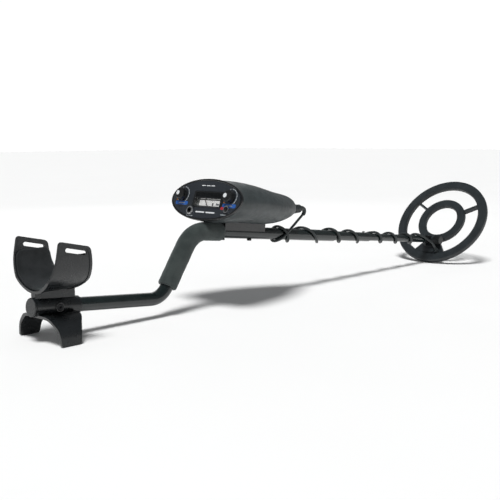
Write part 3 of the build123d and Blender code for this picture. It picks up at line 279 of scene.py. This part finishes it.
def circuit():
    """Green board with traces and pads."""
    made, tree, principled = shader("board", Specular_IOR_Level=0.5, Coat_Weight=0.3)
    field = node(tree, "ShaderNodeTexBrick")
    field.inputs["Scale"].default_value = 220
    field.inputs["Mortar Size"].default_value = 0.06
    tree.links.new(place(tree), field.inputs["Vector"])
    colour = blend_colours(tree, field.outputs["Fac"], (0.008, 0.09, 0.03), (0.03, 0.2, 0.08))
    gloss = steps(tree, noise(tree, place(tree), 400), 0.3, 0.7, 0.3, 0.5)
    link(tree, principled, Base_Color=colour, Roughness=gloss)
    return made


def wound_copper():
    """Fine enamelled wire laid in turns."""
    made, tree, principled = shader("copper", Metallic=0.9, Coat_Weight=0.5)
    turns = node(tree, "ShaderNodeTexWave", wave_type="RINGS", rings_direction="SPHERICAL")
    turns.inputs["Scale"].default_value = 420
    turns.inputs["Distortion"].default_value = 0.6
    tree.links.new(place(tree), turns.inputs["Vector"])
    colour = blend_colours(tree, turns.outputs["Fac"], (0.30, 0.10, 0.035), (0.62, 0.27, 0.10))
    normal = bump(tree, turns.outputs["Fac"], 0.0001, 0.5)
    link(tree, principled, Base_Color=colour, Normal=normal)
    return made


# the meter face's glow is painted light that brightens the dial in its shaded recess
METER_PAINTED_GLOW = 0.55

# each row: dark and light tone, roughness, grain scale, grain depth, clear coat, wear
MOULDED = {
    "armrest_plastic": ((0.0070, 0.0085, 0.0095), (0.0115, 0.0135, 0.015), 0.30, 1500, 0.00006, 0.12, 0.25),
    "housing_plastic": ((0.028, 0.035, 0.036), (0.044, 0.054, 0.056), 0.42, 760, 0.00022, 0.0, 0.2),
    "rim_plastic": ((0.0035, 0.0042, 0.005), (0.006, 0.007, 0.008), 0.2, 1500, 0.00002, 0.4, 0.2),
    "knob_plastic": ((0.006, 0.0065, 0.007), (0.0095, 0.010, 0.0105), 0.30, 1400, 0.00004, 0.2, 0.3),
    "coil_plastic": ((0.016, 0.020, 0.022), (0.025, 0.030, 0.033), 0.42, 1000, 0.00012, 0.0, 0.3),
    "cable_sheath": ((0.022, 0.027, 0.028), (0.036, 0.042, 0.043), 0.38, 1600, 0.00005, 0.0, 0.3),
    "tip_plastic": ((0.006, 0.007, 0.0075), (0.010, 0.0115, 0.012), 0.38, 1300, 0.00006, 0.05, 0.3),
}
# each row: dark and light tone, pit scale, pit depth, roughness
FOAM = {
    "pad_foam": ((0.0105, 0.0115, 0.0125), (0.021, 0.022, 0.024), 900, 0.00025, 0.78),
    "grip_foam": ((0.031, 0.039, 0.038), (0.047, 0.057, 0.055), 1150, 0.00016, 0.72),
    "speaker_paper": ((0.02, 0.02, 0.022), (0.04, 0.04, 0.042), 700, 0.0001, 0.8),
    "washer_rubber": ((0.008, 0.008, 0.008), (0.013, 0.013, 0.013), 1600, 0.00005, 0.7),
}
# each row: dark and light tone, roughness, how the lines are stretched, how metallic it is
METAL = {
    "steel": ((0.30, 0.31, 0.32), (0.50, 0.51, 0.52), 0.32, (500, 500, 60), 1.0),
    "chrome": ((0.70, 0.71, 0.73), (0.86, 0.87, 0.88), 0.25, (300, 300, 300), 1.0),
    "black_steel": ((0.012, 0.012, 0.013), (0.028, 0.029, 0.031), 0.36, (400, 400, 400), 0.8),
    "button_steel": ((0.36, 0.36, 0.36), (0.62, 0.62, 0.61), 0.22, (500, 500, 500), 1.0),
}
# each row: two tones that the ink wanders between, roughness, glow (an emission that paints light onto a
# surface that is no lamp)
PRINTED = {
    "panel_face": ((0.022, 0.026, 0.032), (0.030, 0.035, 0.042), 0.36, 0.0),
    "meter_face": ((0.93, 0.93, 0.91), (0.88, 0.88, 0.86), 0.6, METER_PAINTED_GLOW),
    "needle_paint": ((0.05, 0.012, 0.012), (0.07, 0.015, 0.015), 0.4, 0.0),
    "battery_wrap": ((0.05, 0.05, 0.06), (0.09, 0.07, 0.04), 0.35, 0.0),
    "label_blue": ((0.022, 0.095, 0.36), (0.030, 0.12, 0.42), 0.35, 0.0),
    "print_white": ((0.78, 0.80, 0.82), (0.70, 0.72, 0.74), 0.4, 0.0),
    "print_grey": ((0.34, 0.37, 0.39), (0.28, 0.31, 0.33), 0.4, 0.0),
    "print_red": ((0.45, 0.03, 0.045), (0.36, 0.02, 0.03), 0.4, 0.0),
    "print_orange": ((0.42, 0.14, 0.03), (0.36, 0.11, 0.02), 0.4, 0.0),
}
finishes = {
    "stem_enamel": enamel(),
    "meter_glass": clear_window(),
    "board": circuit(),
    "copper": wound_copper(),
}
for made_by, table in ((moulded, MOULDED), (foam, FOAM), (metal, METAL), (printed, PRINTED)):
    for name, values in table.items():
        finishes[name] = made_by(name, *values)

for piece in frame["nodes"].values():
    for number, used in enumerate(piece.data.materials):
        piece.data.materials[number] = finishes[used.name.split(".")[0]]

# ---- mesh helpers ----
SMOOTH_ANGLE = radians(35)


def finished(name, mesh, finish):
    """An object from a finished bmesh, shaded smooth with sharp edges kept."""
    bmesh.ops.recalc_face_normals(mesh, faces=mesh.faces)
    data = bpy.data.meshes.new(name)
    mesh.to_mesh(data)
    mesh.free()
    data.materials.append(finishes[finish])
    data.shade_smooth()
    data.set_sharp_from_angle(angle=SMOOTH_ANGLE)
    made = bpy.data.objects.new(name, data)
    scene.collection.objects.link(made)
    return made


def join_rings(mesh, rings, looped):
    """Faces between rings of vertices, and from the last ring to the first where it is looped."""
    pairs = list(zip(rings, rings[1:]))
    if looped:
        pairs.append((rings[-1], rings[0]))
    for one, two in pairs:
        for n in range(len(one)):
            after = (n + 1) % len(one)
            mesh.faces.new((one[n], one[after], two[after], two[n]))


def frames_along(points):
    """Each point with two directions across the line that don't twist along it."""
    across = (points[1] - points[0]).cross(Vector((0, 0.31, 0.95))).normalized()
    found = []
    for n, point in enumerate(points):
        ahead = (points[min(n + 1, len(points) - 1)] - points[max(n - 1, 0)]).normalized()
        across = (across - ahead * across.dot(ahead)).normalized()
        found.append((point, across, ahead.cross(across)))
    return found


def tube(name, points, radius, finish, sides=20):
    """A closed round tube along points."""
    mesh = bmesh.new()
    rings = []
    for point, one, two in frames_along(points):
        turns = [2 * pi * n / sides for n in range(sides)]
        rings.append([mesh.verts.new(point + (one * cos(t) + two * sin(t)) * radius) for t in turns])
    join_rings(mesh, rings, False)
    mesh.faces.new(rings[0])
    mesh.faces.new(rings[-1])
    return finished(name, mesh, finish)


def smooth_line(points):
    """The NURBS line that has these points as its control points, read as a list."""
    curve = bpy.data.curves.new("route", "CURVE")
    curve.dimensions = "3D"
    curve.resolution_u = 14
    spline = curve.splines.new("NURBS")
    spline.points.add(len(points) - 1)
    for control, point in zip(spline.points, points):
        control.co = (*point, 1.0)
    spline.order_u = 3
    spline.use_endpoint_u = True
    holder = bpy.data.objects.new("route", curve)
    scene.collection.objects.link(holder)
    bpy.context.view_layer.update()
    line = bpy.data.meshes.new_from_object(holder)
    found = [vertex.co.copy() for vertex in line.vertices]
    bpy.data.meshes.remove(line)
    bpy.data.objects.remove(holder)
    bpy.data.curves.remove(curve)
    return found


# ---- camera at the reference view ----
VIEW_DIRECTION = Vector((0.71355, 0.68773, -0.13387))
CAMERA_PLACE = Vector((-1.10444, -0.94324, 0.2650))
CAMERA_ROLL = radians(-0.35)
SENSOR_WIDTH = 36.0
FOCAL_LENGTH = 59.69
FAR_CLIP = 60.0
camera_data = bpy.data.cameras.new("camera")
camera_data.sensor_width = SENSOR_WIDTH
camera_data.lens = FOCAL_LENGTH
camera_data.clip_end = FAR_CLIP
camera = bpy.data.objects.new("camera", camera_data)
camera.location = CAMERA_PLACE
upright = VIEW_DIRECTION.to_track_quat("-Z", "Y").to_matrix().to_4x4()
camera.rotation_euler = (upright @ Matrix.Rotation(CAMERA_ROLL, 4, "Z")).to_euler()
scene.collection.objects.link(camera)
scene.camera = camera
scene.view_settings.view_transform = "Standard"

# ---- coil lead: wound on the stem, in three lengths that each cross one joint ----
CABLE_RADIUS = 2.25
ROD_RADIUS = 10.0
ROD_END = 349.0
MIDDLE_RADIUS = 8.5
MIDDLE_END = 460.0
LOWER_RADIUS = 7.15
WIND_ALLOWANCE = 2.6
POINTS_PER_HALF_TURN = 5
STEP_ALLOWANCE = 6.0
CROSSINGS = [
    189.1, 195.4, 222.5, 260.1, 305, 340, 369, 396.1, 425.8, 480.7, 502, 531.2, 554.7, 588.6, 608.4, 629.7
]
GLAND_PLACE = (20.0, -76.0)
GLAND_TOP = 12.0
REAR = -539.0335
ELBOW_START = (546.3, 142.0)
ELBOW_RADIUS = 5.5
ELBOW_TURN = radians(152)
ELBOW_END = (
    ELBOW_START[0] + ELBOW_RADIUS * sin(ELBOW_TURN),
    ELBOW_START[1] - ELBOW_RADIUS + ELBOW_RADIUS * cos(ELBOW_TURN),
)
wind_step = pi / POINTS_PER_HALF_TURN


def wind_radius(distance):
    """Radius of the route's corners at that distance along the stem."""
    tube_radius = LOWER_RADIUS
    if distance < ROD_END + STEP_ALLOWANCE:
        tube_radius = ROD_RADIUS
    elif distance < MIDDLE_END + STEP_ALLOWANCE:
        tube_radius = MIDDLE_RADIUS
    return (tube_radius + WIND_ALLOWANCE) / cos(wind_step / 2)


def wound_point(distance, turned):
    """A point of the winding: turned is 0 over the stem and half a turn under it."""
    radius = wind_radius(distance)
    return stem_point(distance, radius * cos(turned), -radius * sin(turned))


route = [Vector((REAR + ELBOW_END[0], 0, ELBOW_END[1])) * MM]
route += [stem_point(228.5, 14.5, -6.4), stem_point(201.5, -2.4, -13.2), wound_point(193.5, radians(135))]
for crossing in range(len(CROSSINGS) - 1):
    start, end = CROSSINGS[crossing], CROSSINGS[crossing + 1]
    for step in range(POINTS_PER_HALF_TURN):
        share = step / POINTS_PER_HALF_TURN
        route.append(wound_point(start + (end - start) * share, pi * (crossing + 1 + share)))
route += [wound_point(CROSSINGS[-1], 0), wound_point(638.5, radians(42))]
route += [stem_point(650, 3.4, -10.2), stem_point(664, -3.5, -13.5), coil_point(17.5, -70.0, 23.0)]
route += [coil_point(*GLAND_PLACE, GLAND_TOP + 3.5), coil_point(*GLAND_PLACE, GLAND_TOP - 6)]
lead_line = smooth_line(route)

CUTS = (405.0, 560.0)
travelled = [(point - upper_bend).dot(stem_direction) / MM for point in lead_line]
first_cut = next(n for n in range(len(lead_line)) if travelled[n] > CUTS[0])
second_cut = next(n for n in range(len(lead_line)) if travelled[n] > CUTS[1])
lengths = {
    "coil_lead_upper": (lead_line[:first_cut + 1], "upper_stem", "middle_stem", 200.0, 400.0),
    "coil_lead_middle": (lead_line[first_cut:second_cut + 1], "middle_stem", "lower_stem", 408.0, 556.0),
}
for name, (points, one, two, start, end) in lengths.items():
    piece = tube(name, points, CABLE_RADIUS * MM, "cable_sheath")
    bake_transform(piece)
    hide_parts("coil_lead")
tail = tube("coil_lead_tail", lead_line[second_cut:], CABLE_RADIUS * MM, "cable_sheath")
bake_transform(tail)
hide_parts("coil_lead")

# ---- foam grip: a sleeve round the upper bend with soft rounded ends ----
BEND_RADIUS = 45.0
GRIP_RADIUS = 14.7
GRIP_BORE = 10.05
GRIP_FRONT = 59.0
GRIP_LIP = 2.4
RISER_ANGLE = radians(56.35)
RISER_LENGTH = 116.1
LOWER_BEND_RADIUS = 34.0
LOWER_ARM_SLOPE = radians(5.2)
STEM_SLOPE = radians(6.32)
LIP_TURNS = (0, pi / 10, pi / 5, 0.3 * pi, 0.4 * pi)
LOWER_BEND_ALLOWANCE = LOWER_BEND_RADIUS * tan((RISER_ANGLE + LOWER_ARM_SLOPE) / 2)
bend_turn = RISER_ANGLE + STEM_SLOPE
bend_tangent = BEND_RADIUS * tan(bend_turn / 2)
riser_direction = Vector((cos(RISER_ANGLE), 0, sin(RISER_ANGLE)))
grip_riser = RISER_LENGTH - LOWER_BEND_ALLOWANCE - bend_tangent
grip_arc = BEND_RADIUS * bend_turn
grip_length = grip_riser + grip_arc + GRIP_FRONT - bend_tangent


def grip_path(distance):
    """A point of the grip's centre line and the two directions across it, in mm from its lower end."""
    turned = max(0.0, min(bend_turn, (distance - grip_riser) / BEND_RADIUS))
    heading = RISER_ANGLE - turned
    ahead = Vector((cos(heading), 0, sin(heading)))
    above = Vector((-sin(heading), 0, cos(heading)))
    bend_start = upper_bend / MM - riser_direction * bend_tangent
    centre = bend_start - Vector((-sin(RISER_ANGLE), 0, cos(RISER_ANGLE))) * BEND_RADIUS
    point = centre + above * BEND_RADIUS
    if distance < grip_riser:
        point = bend_start - ahead * (grip_riser - distance)
    elif distance > grip_riser + grip_arc:
        point = centre + above * BEND_RADIUS + ahead * (distance - grip_riser - grip_arc)
    return point * MM, above, ahead.cross(above)


def foam_sleeve():
    """The grip as one closed solid, its outside slightly uneven as soft foam is."""
    lip = [(GRIP_LIP * (1 - cos(t)), GRIP_RADIUS - GRIP_LIP * (1 - sin(t))) for t in LIP_TURNS]
    spans = 60
    body = [GRIP_LIP + (grip_length - 2 * GRIP_LIP) * n / spans for n in range(spans + 1)]
    profile = [(0, GRIP_BORE + 1.0), (0, GRIP_RADIUS - GRIP_LIP - 0.3)] + lip
    profile += [(s, GRIP_RADIUS + 0.10 * sin(s / 6.1) + 0.07 * sin(s / 2.7 + 1)) for s in body]
    profile += [(grip_length - s, r) for s, r in reversed(lip)]
    profile += [(grip_length, GRIP_RADIUS - GRIP_LIP - 0.3), (grip_length, GRIP_BORE + 1.0)]
    profile += [(s, GRIP_BORE) for s in reversed([0.6, *body[::3], grip_length - 0.6])]
    mesh = bmesh.new()
    sides = 56
    rings = []
    for s, r in profile:
        point, above, aside = grip_path(s)
        ring = []
        for n in range(sides):
            t = 2 * pi * n / sides
            swell = 0.06 * sin(3 * t + s / 9) if r > GRIP_RADIUS - 0.5 else 0
            ring.append(mesh.verts.new(point + (above * cos(t) + aside * sin(t)) * (r + swell) * MM))
        rings.append(ring)
    join_rings(mesh, rings, True)
    return finished("foam_grip_sleeve", mesh, "grip_foam")


grip = foam_sleeve()
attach(grip, "upper_stem")
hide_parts("foam_grip")

# ---- armrest pad: a foam sheet that lines the cradle ----
CRADLE_CENTRE = 117.4
PAD_RADIUS = 48.6
PAD_THICKNESS = 3.2
PAD_TOP = 118.0
PAD_EDGE = 2.6
PAD_ROUNDING = 9.0
PAD_GAP = 0.1
PAD_CROWN = 0.25
EDGE_LEVEL = 0.15
FULL_LEVEL = 0.93
OUTLINE_BOTTOM = 66.0
OUTLINE_WIDEST = 84.0
# each: the station at the bottom, how far it moves to the widest height, and on to the pad's top
REAR_EDGE = (10.5, -5.0, 6.0)
FRONT_EDGE = (55.0, 9.0, -1.8)


def pad_edges(height):
    """The pad's rear and front stations at a height, which follow the cradle's leaning outline."""
    low = max(0.0, min(1.0, (height - OUTLINE_BOTTOM) / (OUTLINE_WIDEST - OUTLINE_BOTTOM)))
    bow = sqrt(max(0.0, 1 - (1 - low) ** 2))
    high = max(0.0, (height - OUTLINE_WIDEST) / (PAD_TOP - OUTLINE_WIDEST))
    return [edge + widest * bow + top * high for edge, widest, top in (REAR_EDGE, FRONT_EDGE)]


def pad_solid():
    """Two skins that meet at a rounded edge, on the cradle's round bottom and straight sides."""
    half_round = PAD_RADIUS * pi / 2
    half_length = half_round + PAD_TOP - CRADLE_CENTRE
    across, along = 90, 34
    spread = [sin(pi / 2 * (2 * n / across - 1)) for n in range(across + 1)]
    depth = [(1 - cos(pi * n / along)) / 2 for n in range(along + 1)]
    mesh = bmesh.new()
    outer, inner = [], []
    for wide in spread:
        reach = wide * half_length
        turn = max(-pi / 2, min(pi / 2, reach / PAD_RADIUS))
        over = max(0.0, abs(reach) - half_round)
        height = CRADLE_CENTRE - PAD_RADIUS * cos(turn) + over
        rear, ahead = pad_edges(height)
        top_gap = half_length - abs(reach)
        corner = max(0.0, PAD_ROUNDING - top_gap)
        tuck = PAD_ROUNDING - sqrt(max(0.0, PAD_ROUNDING ** 2 - corner ** 2))
        lower, upper = [], []
        for share in depth:
            station = rear + tuck + (ahead - rear - 2 * tuck) * share
            edge = min((ahead - rear - 2 * tuck) * min(share, 1 - share), top_gap)
            full = sqrt(max(0.0, 1 - (1 - min(1.0, edge / PAD_EDGE)) ** 2))
            crown = PAD_CROWN * sin(pi * share)
            under = EDGE_LEVEL * (1 - full) * PAD_THICKNESS
            over_skin = PAD_THICKNESS * (EDGE_LEVEL + (1 - EDGE_LEVEL) * full) * FULL_LEVEL + crown * full
            for skin, level in ((lower, under), (upper, over_skin)):
                radius = PAD_RADIUS - PAD_GAP - level
                y = radius * sin(turn)
                z = CRADLE_CENTRE - radius * cos(turn) + over
                skin.append(mesh.verts.new(Vector((REAR + station, y, z)) * MM))
        outer.append(lower)
        inner.append(upper)
    for one, two in zip(range(across), range(1, across + 1)):
        for n in range(along):
            mesh.faces.new((outer[one][n], outer[one][n + 1], outer[two][n + 1], outer[two][n]))
            mesh.faces.new((inner[one][n + 1], inner[one][n], inner[two][n], inner[two][n + 1]))
        mesh.faces.new((outer[one][0], outer[two][0], inner[two][0], inner[one][0]))
        mesh.faces.new((outer[two][-1], outer[one][-1], inner[one][-1], inner[two][-1]))
    for end in (0, across):
        for n in range(along):
            mesh.faces.new((outer[end][n], outer[end][n + 1], inner[end][n + 1], inner[end][n]))
    return finished("armrest_pad_foam", mesh, "pad_foam")


pad = pad_solid()
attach(pad, "upper_stem")
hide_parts("armrest_pad")

# ---- panel print, pointers and dial marks: thin raised shapes ----
KNOB_TOP = 9.0
DIAL_LEVEL = -9.8
PIVOT = (6.0, -17.5)
INK = 0.12
SUNK = -0.05
SCALE_RADIUS = 12.9
LABEL_DROP = 13.6
DIAL_TICK_RADIUS = 17.9


def rounded_bar(width, height, radius, steps_per_corner=6):
    """Outline of a rounded rectangle about its centre."""
    outline = []
    for quarter, (x, y) in enumerate(((1, 1), (-1, 1), (-1, -1), (1, -1))):
        for n in range(steps_per_corner + 1):
            t = pi / 2 * (quarter + n / steps_per_corner)
            corner = (x * (width / 2 - radius), y * (height / 2 - radius))
            outline.append((corner[0] + radius * cos(t), corner[1] + radius * sin(t)))
    return outline


def arc_band(radius, width, first, last, count=28):
    """Outline of a band round a centre: angles are clockwise from the top."""
    turns = [radians(first + (last - first) * n / count) for n in range(count + 1)]
    outline = [((radius + width / 2) * sin(t), (radius + width / 2) * cos(t)) for t in turns]
    return outline + [((radius - width / 2) * sin(t), (radius - width / 2) * cos(t)) for t in reversed(turns)]


def disc(radius, count=32):
    """Outline of a disc."""
    return arc_band(radius / 2, radius, 0, 360 - 360 / count, count - 1)[:count]


def printed_shape(name, outline, centre, level, finish, body="upper_stem", raised=INK, turned=0.0):
    """A thin plate of the outline in the panel's plane, its top edge slightly chamfered."""
    mesh = bmesh.new()
    rings = []
    for out, shrink in ((SUNK, 1.0), (raised * 0.6, 1.0), (raised, 0.97)):
        ring = []
        for x, y in outline:
            right = shrink * (x * cos(turned) + y * sin(turned)) + centre[0]
            up = shrink * (y * cos(turned) - x * sin(turned)) + centre[1]
            ring.append(mesh.verts.new(panel_point(right, up, level + out)))
        rings.append(ring)
    join_rings(mesh, rings, False)
    mesh.faces.new(rings[0])
    mesh.faces.new(rings[-1])
    bmesh.ops.triangulate(mesh, faces=[face for face in mesh.faces if len(face.verts) > 4])
    made = finished(name, mesh, finish)
    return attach(made, body)


def band_shape(name, radius, width, first, last, centre, level, finish):
    """A thin printed arc, built as strips so that its two sides stay parallel."""
    mesh = bmesh.new()
    count = 30
    rings = []
    near, far = radius - width / 2, radius + width / 2
    for n in range(count + 1):
        t = radians(first + (last - first) * n / count)
        ring = []
        for r, out in ((near, SUNK), (near, INK), (far, INK), (far, SUNK)):
            right, up = centre[0] + r * sin(t), centre[1] + r * cos(t)
            ring.append(mesh.verts.new(panel_point(right, up, level + out)))
        rings.append(ring)
    join_rings(mesh, rings, False)
    mesh.faces.new(rings[0])
    mesh.faces.new(rings[-1])
    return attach(finished(name, mesh, finish), "upper_stem")


def ticks(name, turns, centre, radius, outline, level, finish):
    """A row of short radial bars round a centre, at angles in degrees clockwise from the top."""
    for number, turn in enumerate(turns):
        tick = (centre[0] + radius * sin(radians(turn)), centre[1] + radius * cos(radians(turn)))
        printed_shape(f"{name}_tick_{number}", outline, tick, level, finish, turned=radians(turn))


for name, right in (("sensitivity", KNOB_RIGHT), ("mode", -KNOB_RIGHT)):
    knob_centre = (right, KNOB_UP)
    pointer_place = (right - 4.0, KNOB_UP + 0.4)
    printed_shape(name + "_pointer", disc(3.5), pointer_place, KNOB_TOP, "print_white", name + "_knob", 0.35)
    band_shape(name + "_scale", SCALE_RADIUS, 1.15, 4, 150, knob_centre, 0, "print_grey")
    knob_tick = rounded_bar(0.5, 1.9, 0.2, 3)
    ticks(name, range(-138, 150, 24), knob_centre, SCALE_RADIUS, knob_tick, INK * 0.5, "print_white")
    label_place = (right + 1.0, KNOB_UP - LABEL_DROP)
    printed_shape(name + "_label", rounded_bar(29, 6.2, 3.0), label_place, 0, "label_blue")
    printed_shape(name + "_label_line", rounded_bar(14, 1.3, 0.5), label_place, INK, "print_grey")
    printed_shape(name + "_mark", disc(1.2), (right - 11.5, KNOB_UP - 8.6), 0.02, "print_orange")
for number in range(3):
    dash_place = (-11.5 + 10.4 * number, 22.6)
    printed_shape(f"title_dash_{number}", rounded_bar(8.6, 1.3, 0.6), dash_place, 0, "print_white")
for number in range(2):
    dash_place = (-5.5 + 23.0 * number, -20.4)
    printed_shape(f"lower_dash_{number}", rounded_bar(20, 2.2, 1.0), dash_place, 0, "print_white")
printed_shape("jack_caption", rounded_bar(15, 1.5, 0.6), (-27.6, -27.6), 0, "print_grey")
printed_shape("test_caption", rounded_bar(13, 1.5, 0.6), (47.5, -22.4), 0, "print_grey")
printed_shape("test_label", rounded_bar(9.5, 4.6, 2.2), (42.0, -12.2), 0, "print_red")
printed_shape("test_mark", disc(1.0), (57.5, -7.0), 0.02, "print_orange")

dial_tick = rounded_bar(0.5, 1.5, 0.15, 2)
ticks("dial", range(-48, 49, 16), PIVOT, DIAL_TICK_RADIUS, dial_tick, DIAL_LEVEL, "needle_paint")
printed_shape("dial_zone_red", rounded_bar(3.4, 5.0, 1.4), (8.2, -4.6), DIAL_LEVEL, "needle_paint")
printed_shape("dial_zone_grey", rounded_bar(7.0, 3.0, 1.2), (18.5, -4.4), DIAL_LEVEL, "print_grey")
NEEDLE_TILT = radians(-38)
NEEDLE_LEVEL = -7.7
NEEDLE_DEPTH = 0.3
blade = [(-1.0, 2.5), (-0.6, 23.3), (0.6, 23.3), (1.0, 2.5)]
printed_shape(
    "needle_blade", blade, PIVOT, NEEDLE_LEVEL, "needle_paint", "meter_needle", NEEDLE_DEPTH, NEEDLE_TILT
)

# ---- floor and studio light ----
FLOOR_SIZE = 30.0
FLOOR_DROP = 0.0004
CEILING_POWER = 2.98
CEILING_SPREAD = radians(19)
CEILING_TURN = (radians(9), radians(-16), 0)
HORIZON_LIGHT = (0.27, 0.27, 0.27)
OVERHEAD_LIGHT = (0.16, 0.165, 0.17)
BACKDROP = (1.03, 1.03, 1.03)


def pale_floor():
    """A plain pale floor with a slight unevenness."""
    made, tree, principled = shader("floor", Specular_IOR_Level=0.1)
    cloud = noise(tree, place(tree), 3, 2)
    colour = blend_colours(tree, cloud, (0.90, 0.90, 0.895), (0.92, 0.92, 0.915))
    link(tree, principled, Base_Color=colour, Roughness=steps(tree, cloud, 0.3, 0.7, 0.85, 0.95))
    return made


finishes["floor"] = pale_floor()
floor_mesh = bmesh.new()
bmesh.ops.create_grid(floor_mesh, x_segments=12, y_segments=12, size=FLOOR_SIZE / 2)
floor = finished("floor", floor_mesh, "floor")
floor.location = (0, 0, -FLOOR_DROP)


def soft_light(name, spot, target, width, height, power):
    """A rectangular studio light that faces a point."""
    data = bpy.data.lights.new(name, "AREA")
    data.shape = "RECTANGLE"
    data.size = width
    data.size_y = height
    data.energy = power
    made = bpy.data.objects.new(name, data)
    made.location = spot
    made.rotation_euler = (Vector(target) - Vector(spot)).to_track_quat("-Z", "Y").to_euler()
    scene.collection.objects.link(made)


sun_data = bpy.data.lights.new("ceiling", "SUN")
sun_data.energy = CEILING_POWER
sun_data.angle = CEILING_SPREAD
sun = bpy.data.objects.new("ceiling", sun_data)
sun.rotation_euler = CEILING_TURN
sun.visible_glossy = False
scene.collection.objects.link(sun)
soft_light("left_front", (-1.5, -0.9, 1.1), (-0.3, 0, 0.1), 0.7, 0.5, 0.8)
soft_light("back", (0.9, 1.5, 0.9), (0, 0, 0.1), 1.2, 0.4, 2)

world = bpy.data.worlds.new("studio")
scene.world = world
world.use_nodes = True
sky = world.node_tree
sky_place = sky.nodes.new("ShaderNodeTexCoord")
parts = sky.nodes.new("ShaderNodeSeparateXYZ")
sky.links.new(sky_place.outputs["Generated"], parts.inputs["Vector"])
rise = steps(sky, parts.outputs["Z"], 0.17, 0.5, 0, 1)
lighting = blend_colours(sky, rise, HORIZON_LIGHT, OVERHEAD_LIGHT)
seen = sky.nodes.new("ShaderNodeLightPath")
sky_colour = blend_colours(sky, seen.outputs["Is Camera Ray"], lighting, BACKDROP)
sky.links.new(sky_colour, sky.nodes["Background"].inputs["Color"])
